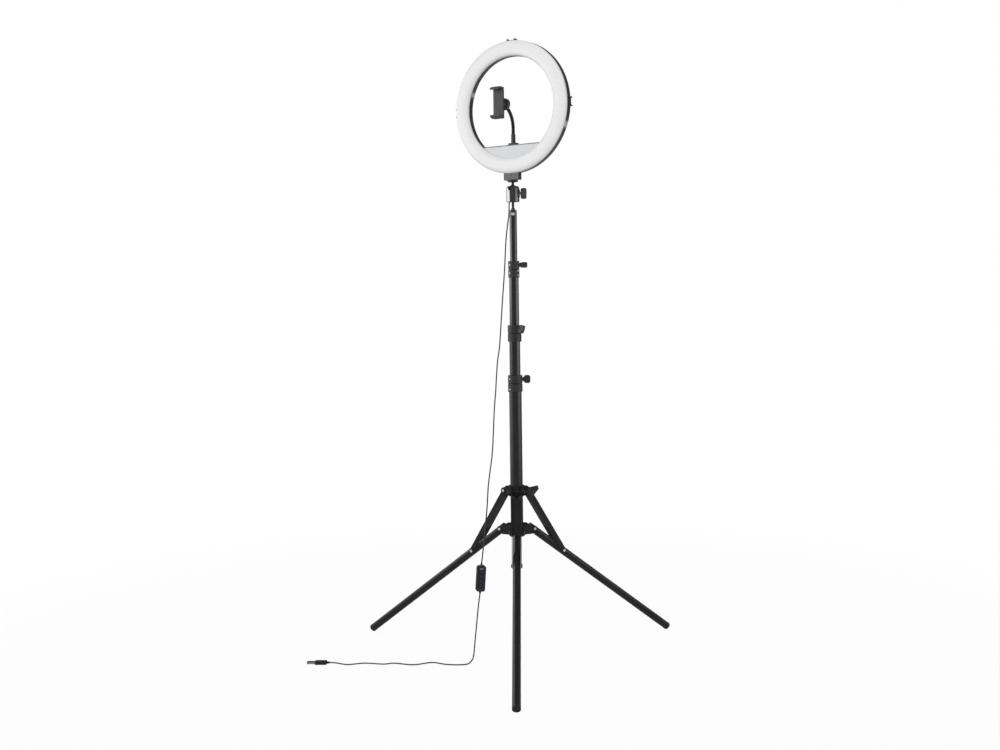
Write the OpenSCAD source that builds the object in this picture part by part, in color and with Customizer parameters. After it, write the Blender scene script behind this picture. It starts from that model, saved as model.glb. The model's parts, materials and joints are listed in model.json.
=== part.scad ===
// Ring light on a folding floor stand, with a phone clamp and an inline cable controller.
// Millimetres, +Z up. The origin is on the floor under the mast, and the ring faces -Y.

/* [Ring] */
// Outer diameter of the ring
ring_od = 300; // [280:1:320]
// Width of the lit band, outer edge to inner edge
ring_band = 34.5; // [30:0.5:38]
// Depth of the black rear housing
rear_depth = 16; // [15:0.5:20]
// Distance of the housing's front rim ahead of the mast axis
rim_front = 4; // [3:0.5:5]
// Wall of the rear housing and the diffuser
shell_wall = 2; // [1.6:0.1:2.4]
// Radius along the housing's rear edges
rear_round = 3; // [2.4:0.1:4]
// Height of the diffuser's crown ahead of the rim
dome_h = 9; // [6:0.5:12]
// Squareness of the diffuser's section, where 2 is an ellipse
dome_square = 2.8; // [2:0.1:3.6]
// Height of the locating lip on the diffuser's back
lip_h = 3; // [2:0.5:4]
// Thickness of the lamp board
board_t = 1.6; // [1:0.1:2]
// Height of the posts that carry the lamp board
post_h = 4; // [3:0.5:5]
// Radius of those posts
post_r = 3.5; // [3:0.1:4]
// Lamp chips round the board
chip_count = 60; // [30:1:90]
// Height of one lamp chip
chip_h = 1; // [0.6:0.1:1.4]
// Radius of the housing screws' shanks
rear_screw_r = 1.2; // [1:0.1:1.5]
// Radius of the housing screws' heads
rear_head_r = 2.8; // [2.2:0.1:3.2]

/* [Accessory shoes] */
// Clear width inside a shoe
shoe_w = 18.7; // [18.6:0.05:19]
// Clear height under a shoe's lips
shoe_slot = 2.1; // [2:0.05:2.4]
// Length of a shoe, front to back
shoe_len = 13; // [11:0.5:14]
// Sheet thickness of a shoe
shoe_t = 1.2; // [1:0.1:1.5]
// Width of each lip
shoe_lip = 3; // [2.5:0.1:3.5]

/* [Shelf and gooseneck] */
// Height of the shelf that fills the bottom of the opening
shelf_h = 30.5; // [26:0.5:36]
// Thickness of the grey plate on the shelf's front
plate_t = 2; // [1.5:0.1:2.5]
// Width of the ledge that carries that plate
plate_ledge = 2; // [1.5:0.1:3]
// Width of the gooseneck's foot
neck_foot_w = 22; // [20:0.5:28]
// Depth of the gooseneck's foot
neck_foot_d = 12; // [11:0.5:13]
// Height of the gooseneck's foot
neck_foot_h = 4.5; // [3.5:0.5:6]
// Height of the ferrule above the foot
ferrule_h = 20; // [14:1:24]
// Wall of the ferrule round the gooseneck
ferrule_wall = 1.2; // [1:0.1:1.6]
// Radius of the gooseneck
neck_r = 4; // [3.5:0.1:4.5]
// Straight length of the gooseneck above the ferrule
neck_rise = 13; // [8:1:22]
// Bend radius of the gooseneck
neck_bend_r = 52; // [44:1:60]
// Bend angle of the gooseneck, towards the front
neck_bend = 52; // [48:1:56]
// Radius of the ball on the gooseneck's end
neck_ball_r = 8; // [7.5:0.1:8.5]
// Length of the thin stem below that ball
neck_stem = 8; // [8:0.5:12]
// Radius of the thin stem
neck_stem_r = 2.5; // [2.2:0.1:2.6]

/* [Phone clamp] */
// Width of the clamp
clamp_w = 25.5; // [23:0.5:30]
// Thickness of the clamp's back
clamp_t = 6; // [5.5:0.1:7]
// Reach of the jaws ahead of the back
jaw_reach = 15.5; // [12:0.5:20]
// Thickness of each jaw
jaw_t = 5; // [4:0.5:7]
// Width of a jaw's tip as a share of the clamp's width
jaw_taper = 0.95; // [0.5:0.05:1]
// Height of the hook at a jaw's tip
jaw_hook = 2; // [1:0.5:6]
// Depth of a jaw's sloped tip behind its gripping face, in mm
jaw_nose = 1.5; // [1:0.25:3.5]
// Clear height between the closed jaws
jaw_gap = 60; // [56:1:70]
// Depth that the sliding jaw's tongue reaches into the back
tongue_len = 44; // [40:1:48]
// Thickness of that tongue
tongue_t = 2; // [1.6:0.1:2.2]
// Radius of the ball socket behind the clamp
socket_r = 10; // [9.7:0.1:11]
// Length of the socket behind the clamp's back
socket_len = 23; // [20:1:26]
// Radius of the lock nut
nut_r = 13.4; // [12:0.1:14]
// Length of the lock nut's threaded skirt
nut_skirt = 8; // [6:0.5:10]

/* [Mounting block and ball head] */
// Width of the block under the ring
block_w = 40; // [34:1:46]
// Depth of the block
block_d = 13; // [12:0.5:15]
// Height of the block
block_h = 15; // [13:0.5:18]
// Radius of the quarter-inch threads
thread_r = 3.175; // [3:0.005:3.3]
// Depth of the thread in the block
thread_depth = 10; // [8:0.5:11]
// Radius of the lock disc under the block
disc_r = 12; // [11:0.5:13]
// Thickness of the lock disc
disc_t = 4.2; // [3:0.1:5]
// Radius of the ball
ball_r = 10; // [9.5:0.1:10.5]
// Radius of the ball's neck
ball_neck_r = 3; // [2.8:0.1:3.1]
// Height of the lock disc above the ball's centre
ball_neck_h = 16.5; // [16.2:0.1:18]
// Radius of the ball head's housing
head_r = 15; // [14.5:0.1:15.5]
// Height of the housing
head_h = 35.7; // [34:0.1:38]
// Height of the ball's centre above the housing's base
ball_up = 29; // [28.5:0.1:29.5]
// Radius along the housing's top edge
head_round = 5; // [3:0.5:5.5]
// Length of the thread in the housing's base
head_thread = 8; // [7:0.5:9]
// Radius of the pad that presses on the ball
pad_r = 7; // [6.5:0.1:7.5]
// Height of that pad below the ball's centre
pad_drop = 17; // [16:0.5:18]
// Height of the locking knob's axis above the base
head_knob_up = 19; // [17:0.5:20]
// Radius of the locking knob
head_knob_r = 12.5; // [10:0.5:13]
// Length of the locking knob
head_knob_len = 13.5; // [10:0.5:15]
// Radius along the rims of that knob
head_knob_round = 4; // [2:0.5:5]
// Height of the boss that the knob's screw passes
head_boss = 1.6; // [1:0.1:1.8]
// Radius of that boss
head_boss_r = 8.5; // [6:0.5:9]
// Clear length of stud between the mast and the head
stud_show = 19; // [15:0.5:24]

/* [Mast] */
// Radius of the main tube
main_r = 14.5; // [14:0.1:15]
// Radius of the second tube
tube_2_r = 12.5; // [12.2:0.1:12.8]
// Radius of the third tube
tube_3_r = 11; // [10.6:0.1:11.2]
// Radius of the top tube
tube_4_r = 8.5; // [8:0.1:9]
// Wall of every tube
tube_wall = 0.8; // [0.6:0.05:0.9]
// Height of the lowest collar above the leg pivots
collar_c_up = 322; // [310:1:340]
// Shown length of the second tube
show_2 = 78; // [60:1:110]
// Shown length of the third tube
show_3 = 109.5; // [80:0.5:130]
// Shown length of the top tube
show_4 = 114.5; // [90:0.5:140]
// Length of the second tube
tube_2_len = 400; // [380:1:410]
// Length of the third tube
tube_3_len = 438; // [420:1:450]
// Length of the top tube
tube_4_len = 462; // [450:1:470]
// Length of the sliding bush on each inner tube
bush_len = 30; // [24:1:36]
// Thickness of the lip under each bush
bush_lip = 2; // [1:0.5:3]
// Height of a collar
collar_h = 38; // [36:0.5:42]
// Radius of the lowest collar
collar_c_r = 16.8; // [16.5:0.1:18]
// Radius of the middle collar
collar_b_r = 15.8; // [15:0.1:17]
// Radius of the top collar
collar_a_r = 13; // [12.8:0.1:14.5]
// Height of the groove between a collar's two bands
groove_h = 2; // [1:0.5:3]
// Depth of that groove
groove_d = 1.2; // [0.6:0.1:1.5]
// Length of the plug in the mast's top
plug_len = 24; // [18:1:28]
// Thickness of the plug's cap
plug_cap = 2; // [1.5:0.1:3]
// Height of the mast's nut on that cap
stud_nut_h = 4; // [3:0.5:5]
// Radius of the cross screw that holds the plug
plug_screw_r = 1.5; // [1.2:0.1:1.8]
// Distance of that screw below the mast's top
plug_screw_drop = 7; // [6:0.5:9]

/* [Lock knobs] */
// Radius of a collar knob's screw
knob_screw_r = 2.5; // [2:0.1:2.8]
// Width of a collar knob's paddle
paddle_w = 18.5; // [15:0.5:20]
// Thickness of that paddle
paddle_t = 7; // [6:0.5:8]
// Length of that paddle
paddle_len = 15; // [12:0.5:17]
// Length of the round neck behind it
knob_neck = 3; // [2:0.5:4]
// Radius of that neck
knob_neck_r = 5; // [3.5:0.5:5.5]
// Height of a knob's axis above its collar's base
knob_up = 29; // [28.5:0.5:30]
// Radius of the spider knob's screw
spider_screw_r = 3; // [2.5:0.1:3.5]
// Width of the spider knob's wings at their tips
wing_w = 40; // [34:1:42]
// Width of those wings at their root
wing_root_w = 22; // [18:1:24]
// Thickness of those wings
wing_t = 8; // [6:0.5:9]
// Length of those wings
wing_len = 22; // [18:1:24]
// Radius of those wings' corners
wing_round = 4; // [3:0.5:5]

/* [Tripod] */
// Height of the leg pivots above the floor
pivot_z = 294; // [270:1:310]
// Radius of the leg pivots from the mast axis
leg_pivot_r = 39; // [38.5:0.5:42]
// Angle of a leg from straight down
leg_angle = 53.5; // [48:0.5:56]
// Radius of a leg tube
leg_r = 9; // [8.6:0.1:9.4]
// Wall of a leg tube
leg_wall = 1; // [0.8:0.1:1.5]
// Distance that a leg runs on past its pivot
leg_back = 9; // [7:0.5:11]
// Distance that a foot's rim stands out past its leg
foot_lip = 0.2; // [0.1:0.1:1]
// Thickness of a foot's rim
foot_len = 4; // [2:0.5:8]
// Length of a foot's plug inside its leg
foot_plug = 16; // [10:1:24]
// Radius round the end of a foot
foot_round = 2; // [1:0.5:4]
// Depth of the flat worn on a foot
foot_flat = 0.4; // [0.2:0.1:0.8]
// Height of the brace pivots above the leg pivots
spider_rise = 92; // [88:0.5:98]
// Radius of the brace pivots from the mast axis
brace_pivot_r = 26; // [25:0.5:26.5]
// Distance along a leg from its pivot to the brace
brace_at = 102; // [94:1:108]
// Sheet thickness of a brace
brace_t = 1.5; // [1:0.1:1.8]
// Depth of a brace's flanges
brace_d = 12; // [10:0.5:13]
// Where a brace's web starts, along the brace
web_from = 15; // [12:1:20]
// Where a brace's web ends, along the brace
web_to = 105; // [90:1:108]
// Radius of every pivot bolt
bolt_r = 2.5; // [2:0.1:2.8]
// Thickness of a bolt's head
bolt_head = 2; // [1.5:0.1:2.5]
// Wall of the spiders' hubs
hub_wall = 4; // [3.4:0.1:5]
// Height of the spiders' hubs and arms
hub_h = 23; // [20:0.5:25]
// Thickness of an arm's cheek
cheek_t = 5.5; // [4:0.5:6]
// Radius round a pivot at an arm's tip
arm_tip_r = 7; // [6:0.5:8]
// Floor under the main tube in the lower spider
hub_floor = 3; // [2:0.5:4]
// Depth of the main tube below the leg pivots
tube_below = 11; // [9:0.5:16]

/* [Controller and cable] */
// Diameter of the cable
cable_d = 3; // [2.6:0.1:3.4]
// Width of the controller
ctrl_w = 21; // [19:0.5:24]
// Height of the controller
ctrl_h = 60; // [54:1:66]
// Thickness of the controller
ctrl_t = 12; // [10:0.5:14]
// Wall of the controller's two shells
ctrl_wall = 1.5; // [1.2:0.1:2]
// Corner radius of the controller
ctrl_round = 5; // [3:0.5:7]
// Thickness of the controller's front cover
cover_t = 4; // [3:0.5:5]
// Radius of a button
button_r = 3.2; // [2.6:0.1:3.6]
// Height of a button above the cover
button_proud = 1.2; // [1:0.1:1.5]
// Spacing of the buttons
button_step = 11; // [9.5:0.5:12]
// Length of the cable sleeves on the controller
sleeve_len = 6; // [5:0.5:9]
// Wall of a strain relief at its tip
sleeve_wall = 0.5; // [0.3:0.1:0.8]
// Length of the plug's moulded grip
plug_grip_len = 26; // [22:1:32]
// Width of that grip
plug_grip_w = 15.6; // [14:0.2:17]
// Thickness of that grip
plug_grip_t = 8; // [7:0.5:9]

/* [Fits] */
// Radial clearance of a shaft that turns or slides in its bore
run_fit = 0.05; // [0.03:0.01:0.08]
// Gap at each side of a part that swings between two cheeks
side_gap = 0.5; // [0.4:0.05:0.7]
// Gap at a screw's tip or a stop
tip_gap = 0.3; // [0.2:0.05:0.4]
// Gap round a sliding tongue or a button
slide_gap = 0.1; // [0.08:0.01:0.15]

/* [Hidden] */
$fn = 64;
// Overshoot of a cutting shape past the face that it opens
cut = 1;

// Azimuths about the mast, counter-clockwise from +X
leg_azimuths = [302, 62, 182];
spider_knob_az = 2;
knob_a_az = 33;
knob_b_az = 340;
knob_c_az = 33;
head_knob_az = 33;
plug_screw_az = 303;
// Turn of each knob about its own axis
knob_a_turn = 71;
knob_b_turn = -20;
knob_c_turn = 0;
spider_knob_turn = 115;

// Tripod, worked out from the pivots
foot_r = leg_r + foot_lip;
foot_drop = (foot_r - foot_round) * sin(leg_angle) + foot_round - foot_flat;
leg_len = (pivot_z - foot_drop) / cos(leg_angle);
brace_joint_r = leg_pivot_r + brace_at * sin(leg_angle);
brace_joint_z = pivot_z - brace_at * cos(leg_angle);
spider_z = pivot_z + spider_rise;
brace_angle = atan2(brace_joint_r - brace_pivot_r, spider_z - brace_joint_z);
brace_len = norm([brace_joint_r - brace_pivot_r, spider_z - brace_joint_z]);
brace_in = leg_r + side_gap;
brace_out = brace_in + brace_t;
low_cheek_in = leg_r + side_gap;
up_cheek_in = brace_out + side_gap;
hub_r = main_r + hub_wall;
spider_boss_out = hub_r + 6;

// Mast, from the floor up
main_bottom = pivot_z - tube_below;
collar_c_z = pivot_z + collar_c_up;
collar_b_z = collar_c_z + collar_h + show_2;
collar_a_z = collar_b_z + collar_h + show_3;
seat_h = (collar_h - groove_h) / 2;
main_top = collar_c_z + seat_h;
tube_2_top = collar_b_z + seat_h;
tube_3_top = collar_a_z + seat_h;
mast_top = collar_a_z + collar_h + show_4;

// Ball head and ring, stacked on the mast
head_z = mast_top + plug_cap + stud_show;
ball_z = head_z + ball_up;
disc_z = ball_z + ball_neck_h;
block_z = disc_z + disc_t + slide_gap;
ring_r = ring_od / 2;
ring_in_r = ring_r - ring_band;
ring_mid_r = ring_r - ring_band / 2;
ring_z = block_z + block_h + ring_r;
rear_back = rear_depth - rim_front;
board_back = rear_back - shell_wall - post_h;
post_count = 6;
shoe_y = (rear_back - rim_front) / 2;

// Shelf, gooseneck and clamp
shelf_top = ring_z - ring_in_r + shelf_h;
shelf_y = (rear_back - rim_front) / 2 + 1;
ferrule_top = shelf_top + neck_foot_h + ferrule_h;
bend_start = ferrule_top + neck_rise;
bend_end_y = shelf_y - neck_bend_r * (1 - cos(neck_bend));
bend_end_z = bend_start + neck_bend_r * sin(neck_bend);
neck_run = neck_stem + neck_ball_r;
phone_y = bend_end_y - neck_run * sin(neck_bend);
phone_z = bend_end_z + neck_run * cos(neck_bend);
clamp_back_y = phone_y - socket_len - slide_gap;
clamp_front_y = clamp_back_y - clamp_t;
face_t = 1.4;
rear_t = clamp_t - face_t - tongue_t - slide_gap;
stub_r = 5;
stub_len = rear_t + slide_gap - tip_gap;
jaw_low_z = phone_z - jaw_gap / 2;
jaw_high_z = phone_z + jaw_gap / 2;
tongue_w = clamp_w - 8;
pocket_y = clamp_front_y + face_t;
pocket_floor = jaw_high_z - tongue_len - tip_gap;
nut_lip = 5.5;

// Cable, controller and plug
cable_r = cable_d / 2;
gland_x = -16;
gland_len = 7;
gland_z = ring_z - sqrt(ring_mid_r * ring_mid_r - gland_x * gland_x);
gland_tip = [gland_x, rear_back + gland_len, gland_z];
ctrl_at = [-60.5, -64.5, 184];
ctrl_turn = 45;
ctrl_lean = 4;
sleeve_tip = ctrl_h / 2 + sleeve_len;
ctrl_axis = [sin(ctrl_lean) * cos(ctrl_turn), sin(ctrl_lean) * sin(ctrl_turn), cos(ctrl_lean)];
plug_at = [-324, -296, plug_grip_t / 2 + 0.2];
plug_az = 211;
plug_sleeve = 8;
shell_len = 18.8;
shell_w = 12;
shell_h = 4.5;
shell_t = 0.5;
upper_route = [[-16, 25, 1136], [-16, 33, 1132.5], [-16, 36.5, 1124], [-16, 35, 1112], [-16.5, 25, 1091],
    [-18, 13, 1055], [-18, 10, 1025], [-19, 7, 1008], [-22, 2, 964], [-23.5, -3, 898], [-26.5, -9, 827],
    [-28, -13, 781], [-30.5, -18, 720], [-34, -23, 680], [-36, -28.5, 615], [-38, -32, 575],
    [-40, -39, 480], [-44, -45, 430], [-47, -48.5, 395], [-49, -52, 345], [-53, -56.5, 290], [-56, -60, 250]];
lower_route = [[-64.5, -70, 120], [-69.5, -75.5, 55], [-70.5, -79.5, 25], [-66.5, -89.5, 8],
    [-57.5, -110, 2.4], [-52, -141, 1.7], [-87, -163.5, 1.7], [-127.5, -169, 1.7], [-153.5, -205, 1.7],
    [-199, -218, 1.7], [-215.5, -236, 1.7], [-258, -253, 1.7], [-284, -281, 1.7], [-311, -288, 3]];

// Stands children in the ring's own frame: x to the right, y up, z to the front
module ring_frame() {
    translate([0, 0, ring_z]) rotate([90, 0, 0]) children();
}

// Turns children so that local +X points outwards at an azimuth
module outwards(azimuth) {
    rotate([0, 0, azimuth]) children();
}

// A plain tube standing on a height
module pipe(r, wall, from, to) {
    translate([0, 0, from]) difference() {
        cylinder(r = r, h = to - from);
        translate([0, 0, -cut]) cylinder(r = r - wall, h = to - from + 2 * cut);
    }
}

// A square with rounded corners, centred
module round_square(w, h, r) {
    square([w - 2 * r, h], center = true);
    square([w, h - 2 * r], center = true);
    for (x = [-1, 1], y = [-1, 1])
        translate([x * (w / 2 - r), y * (h / 2 - r)]) circle(r);
}

// The section of the rear housing's outside, as a square with two round rear corners
module tray_section() {
    translate([ring_in_r, -rear_back + rear_round]) square([ring_band, rear_depth - rear_round]);
    translate([ring_in_r + rear_round, -rear_back]) square([ring_band - 2 * rear_round, rear_round + cut]);
    for (r = [ring_in_r + rear_round, ring_r - rear_round])
        translate([r, -rear_back + rear_round]) circle(rear_round);
}

// The part of a disc below a level chord
module segment(r, top) {
    intersection() {
        circle(r, $fn = 128);
        translate([-r, -r]) square([2 * r, r + top]);
    }
}

// Places children at each of the board's posts
module at_posts() {
    for (i = [0 : post_count - 1])
        rotate([0, 0, 360 / post_count * (i + 0.5)]) translate([ring_mid_r, 0, 0]) children();
}

module rear_housing() {
    shelf_level = shelf_h - ring_in_r;
    inner_wall_r = ring_in_r + shell_wall;
    color("#1b1b1d") ring_frame() difference() {
        union() {
            difference() {
                rotate_extrude($fn = 128) tray_section();
                translate([0, 0, shell_wall - rear_back]) difference() {
                    cylinder(r = ring_r - shell_wall, h = rear_depth, $fn = 128);
                    translate([0, 0, -cut]) cylinder(r = inner_wall_r, h = rear_depth + 2 * cut, $fn = 128);
                }
            }
            translate([0, 0, -rear_back]) linear_extrude(rear_depth)
                segment(inner_wall_r - shell_wall / 2, shelf_level);
            at_posts() translate([0, 0, shell_wall - rear_back - cut / 2])
                cylinder(r = post_r, h = post_h + cut / 2);
        }
        translate([0, 0, rim_front - plate_t]) linear_extrude(plate_t + cut)
            segment(ring_in_r, shelf_level - shell_wall);
        translate([0, 0, shell_wall - rear_back]) linear_extrude(rear_depth)
            segment(ring_in_r - plate_ledge, shelf_level - shell_wall - plate_ledge);
        at_posts() translate([0, 0, -rear_back - cut])
            cylinder(r = rear_screw_r, h = shell_wall + post_h + 2 * cut);
        translate([gland_x, gland_z - ring_z, -rear_back - cut])
            cylinder(r = cable_d, h = shell_wall + cut);
    }
}

// One point of the diffuser's crowned section, at an angle from 0 to 180 degrees
function crown(half_w, h, t) = [
    ring_mid_r + half_w * sign(cos(t)) * pow(abs(cos(t)), 2 / dome_square),
    h * pow(sin(t), 2 / dome_square)];

module diffuser() {
    half_band = ring_band / 2;
    lip_out = ring_r - shell_wall - slide_gap;
    lip_in = ring_in_r + shell_wall + slide_gap;
    steps = [0 : 7.5 : 180];
    color("#f4f4f2") ring_frame() translate([0, 0, rim_front]) rotate_extrude($fn = 128) {
        difference() {
            polygon([for (t = steps) crown(half_band, dome_h, t)]);
            polygon([for (t = steps) crown(half_band - shell_wall * 2, dome_h - shell_wall, t)]);
        }
        translate([lip_out - shell_wall, -lip_h]) square([shell_wall, lip_h + shell_wall / 2]);
        translate([lip_in, -lip_h]) square([shell_wall, lip_h + shell_wall / 2]);
    }
}

module led_board() {
    edge_gap = shell_wall + 1;
    chip = [2.8, 3.5];
    color("#e8e6dc") ring_frame() translate([0, 0, -board_back]) {
        difference() {
            cylinder(r = ring_r - edge_gap, h = board_t, $fn = 128);
            translate([0, 0, -cut]) cylinder(r = ring_in_r + edge_gap, h = board_t + 2 * cut, $fn = 128);
            at_posts() translate([0, 0, -cut]) cylinder(r = rear_screw_r, h = board_t + 2 * cut);
        }
        for (i = [0 : chip_count - 1])
            rotate([0, 0, 360 / chip_count * i])
                translate([ring_mid_r + post_r + 2, -chip.y / 2, board_t - cut / 2])
                    cube([chip.x, chip.y, chip_h + cut / 2]);
    }
}

module housing_screws() {
    head_t = 1.4;
    color("#9a9a9c") ring_frame() at_posts() translate([0, 0, -rear_back]) {
        translate([0, 0, -head_t]) cylinder(r = rear_head_r, h = head_t);
        cylinder(r = rear_screw_r, h = shell_wall + post_h + board_t);
    }
}

// An accessory shoe on the ring's edge, at an angle round the ring
module shoe(angle) {
    outer_w = shoe_w + 2 * shoe_t;
    sink = 1;
    color("#232325") ring_frame() rotate([0, 0, angle]) difference() {
        translate([ring_r - sink, 0, -shoe_y]) {
            translate([0, -outer_w / 2, -shoe_len / 2]) cube([sink + shoe_t, outer_w, shoe_len]);
            for (side = [-1, 1]) {
                translate([sink, side * (shoe_w + shoe_t) / 2 - shoe_t / 2, -shoe_len / 2])
                    cube([2 * shoe_t + shoe_slot, shoe_t, shoe_len]);
                lip_at = side * (outer_w - shoe_lip) / 2 - shoe_lip / 2;
                translate([sink + shoe_t + shoe_slot, lip_at, -shoe_len / 2])
                    cube([shoe_t, shoe_lip, shoe_len]);
            }
        }
        cylinder(r = ring_r, h = 4 * rear_depth, center = true, $fn = 360);
    }
}
module shoe_top() { shoe(90); }
module shoe_left() { shoe(180); }
module shoe_right() { shoe(0); }

module shelf_plate() {
    color("#dcdde0") ring_frame() translate([0, 0, rim_front - plate_t]) linear_extrude(plate_t)
        segment(ring_in_r, shelf_h - ring_in_r - shell_wall);
}

module mount_block() {
    hole_r = 1.3;
    hole_deep = 3;
    hole_drop = 4;
    color("#6f7072") difference() {
        translate([-block_w / 2, -block_d / 2, block_z]) cube([block_w, block_d, block_h + block_w / 10]);
        ring_frame() cylinder(r = ring_r, h = 4 * rear_depth, center = true, $fn = 360);
        translate([0, 0, block_z - cut]) cylinder(r = thread_r + run_fit, h = thread_depth + cut);
        translate([0, hole_deep - block_d / 2, block_z + block_h - hole_drop])
            rotate([90, 0, 0]) cylinder(r = hole_r, h = hole_deep + cut);
    }
}

module cable_gland() {
    flange_t = 1.2;
    color("#1a1a1a") translate([gland_x, rear_back, gland_z]) rotate([-90, 0, 0]) {
        translate([0, 0, -shell_wall]) cylinder(r = cable_d, h = shell_wall);
        cylinder(r = cable_d + 1.5, h = flange_t);
        cylinder(r1 = cable_d, r2 = cable_r + 0.7, h = gland_len);
    }
}

module gooseneck_foot() {
    color("#3a3a3c") difference() {
        union() {
            translate([-neck_foot_w / 2, shelf_y - neck_foot_d / 2, shelf_top])
                cube([neck_foot_w, neck_foot_d, neck_foot_h]);
            translate([0, shelf_y, shelf_top])
                cylinder(r = neck_r + ferrule_wall, h = neck_foot_h + ferrule_h);
        }
        translate([0, shelf_y, shelf_top + neck_foot_h]) cylinder(r = neck_r, h = ferrule_h + cut);
    }
}

module gooseneck() {
    joined = 0.2;
    color("#161617") {
        translate([0, shelf_y, shelf_top + neck_foot_h]) cylinder(r = neck_r, h = ferrule_h + neck_rise);
        translate([0, shelf_y - neck_bend_r, bend_start]) rotate([90, 0, 90])
            rotate_extrude(angle = neck_bend) translate([neck_bend_r, 0]) circle(neck_r);
        translate([0, bend_end_y, bend_end_z]) rotate([neck_bend, 0, 0]) {
            translate([0, 0, -joined]) cylinder(r = neck_stem_r, h = neck_run + joined);
            translate([0, 0, neck_run]) sphere(neck_ball_r);
        }
    }
}

// Stands children at the phone joint, with local z to the front
module phone_frame() {
    translate([0, phone_y, phone_z]) rotate([90, 0, 0]) children();
}

module clamp_socket() {
    color("#1d1d1f") phone_frame() difference() {
        union() {
            cylinder(r = socket_r, h = socket_len);
            cylinder(r = stub_r, h = socket_len + stub_len);
        }
        sphere(neck_ball_r + run_fit);
    }
}

module lock_nut() {
    rib_count = 16;
    rib_r = 0.8;
    bore_r = socket_r + run_fit;
    mouth_r = neck_ball_r + 0.5;
    mouth_wall = 1.5;
    color("#202022") phone_frame() difference() {
        union() {
            translate([0, 0, -nut_lip]) cylinder(r1 = mouth_r + mouth_wall, r2 = nut_r, h = nut_lip - 1);
            translate([0, 0, -1]) cylinder(r = nut_r, h = nut_skirt + 1);
        }
        translate([0, 0, -tip_gap]) cylinder(r = bore_r, h = nut_skirt + tip_gap + cut);
        sphere(neck_ball_r + run_fit);
        translate([0, 0, -nut_lip - cut])
            cylinder(r1 = mouth_r + cut, r2 = mouth_r - nut_lip, h = nut_lip + cut);
        for (i = [0 : rib_count - 1])
            rotate([0, 0, 360 / rib_count * i]) translate([nut_r + rib_r / 2, 0, 0])
                cylinder(r = rib_r, h = nut_skirt + cut);
    }
}

// One jaw with its tip hooked up and sloped below, its gripping face at z = 0 and its back at y = 0
module jaw() {
    tip_t = 3;
    back_half = clamp_w / 2;
    tip_half = back_half * jaw_taper;
    slope_start = jaw_reach * 0.6;
    intersection() {
        translate([0, 0, -jaw_t]) linear_extrude(jaw_t + jaw_hook)
            polygon([[-back_half, 0], [-tip_half, -jaw_reach], [tip_half, -jaw_reach], [back_half, 0]]);
        translate([-clamp_w, 0, 0]) rotate([90, 0, 90]) linear_extrude(2 * clamp_w)
            polygon([[0, -jaw_t], [0, 0], [tip_t - jaw_reach, 0], [tip_t - jaw_reach, jaw_hook],
                [-jaw_reach, jaw_hook], [-jaw_reach, -jaw_nose], [-slope_start, -jaw_t]]);
    }
}

module clamp_back() {
    back_top = jaw_high_z - tip_gap;
    color("#4a4b4d") difference() {
        union() {
            translate([-clamp_w / 2, clamp_front_y, jaw_low_z - jaw_t])
                cube([clamp_w, clamp_t, back_top - jaw_low_z + jaw_t]);
            translate([0, clamp_front_y, jaw_low_z]) jaw();
        }
        translate([-tongue_w / 2 - slide_gap, pocket_y - slide_gap, pocket_floor])
            cube([tongue_w + 2 * slide_gap, tongue_t + 2 * slide_gap, back_top - pocket_floor + cut]);
        phone_frame() translate([0, 0, socket_len - cut])
            cylinder(r = stub_r + run_fit, h = rear_t + slide_gap + 1.5 * cut);
    }
}

module clamp_jaw() {
    color("#454648") {
        translate([0, clamp_front_y, jaw_high_z]) mirror([0, 0, 1]) jaw();
        translate([-clamp_w / 2, clamp_front_y, jaw_high_z]) cube([clamp_w, clamp_t, jaw_t]);
        translate([-tongue_w / 2, pocket_y, jaw_high_z - tongue_len])
            cube([tongue_w, tongue_t, tongue_len + cut]);
    }
}

module ball_stem() {
    thread_end = block_z + thread_depth - tip_gap;
    color("#2a2a2c") {
        translate([0, 0, ball_z]) sphere(ball_r);
        translate([0, 0, ball_z]) cylinder(r = ball_neck_r, h = ball_neck_h);
        translate([0, 0, disc_z]) cylinder(r = thread_r, h = thread_end - disc_z);
    }
}

module lock_disc() {
    groove_count = 24;
    groove_r = 0.7;
    color("#2b2b2d") translate([0, 0, disc_z]) difference() {
        cylinder(r = disc_r, h = disc_t);
        translate([0, 0, -cut]) cylinder(r = thread_r + run_fit, h = disc_t + 2 * cut);
        for (i = [0 : groove_count - 1])
            rotate([0, 0, 360 / groove_count * i]) translate([disc_r + groove_r / 3, 0, -cut])
                cylinder(r = groove_r, h = disc_t + 2 * cut);
    }
}

// Lays children along a knob's axis at an azimuth and a height, with local z outwards
module knob_frame(azimuth, z) {
    outwards(azimuth) translate([0, 0, z]) rotate([0, 90, 0]) children();
}

module head_housing() {
    notch_r = ball_neck_r + side_gap;
    color("#19191b") difference() {
        union() {
            translate([0, 0, head_z]) rotate_extrude() {
                square([head_r, head_h - head_round]);
                square([head_r - head_round, head_h]);
                intersection() {
                    translate([head_r - head_round, head_h - head_round]) circle(head_round);
                    square([head_r, head_h]);
                }
            }
            knob_frame(head_knob_az, head_z + head_knob_up)
                cylinder(r = head_boss_r, h = head_r + head_boss);
        }
        translate([0, 0, ball_z]) sphere(ball_r + run_fit);
        translate([0, 0, ball_z - pad_drop]) cylinder(r = pad_r + run_fit, h = pad_drop);
        translate([0, 0, head_z - cut]) cylinder(r = thread_r + run_fit, h = head_thread + cut);
        translate([-notch_r, -head_r - cut, ball_z]) cube([2 * notch_r, head_r + cut, head_h]);
        translate([0, 0, ball_z]) rotate([90, 0, 0]) cylinder(r = notch_r, h = head_r + cut);
        knob_frame(head_knob_az, head_z + head_knob_up)
            cylinder(r = knob_screw_r + run_fit, h = head_r + head_boss + cut);
    }
}

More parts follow.
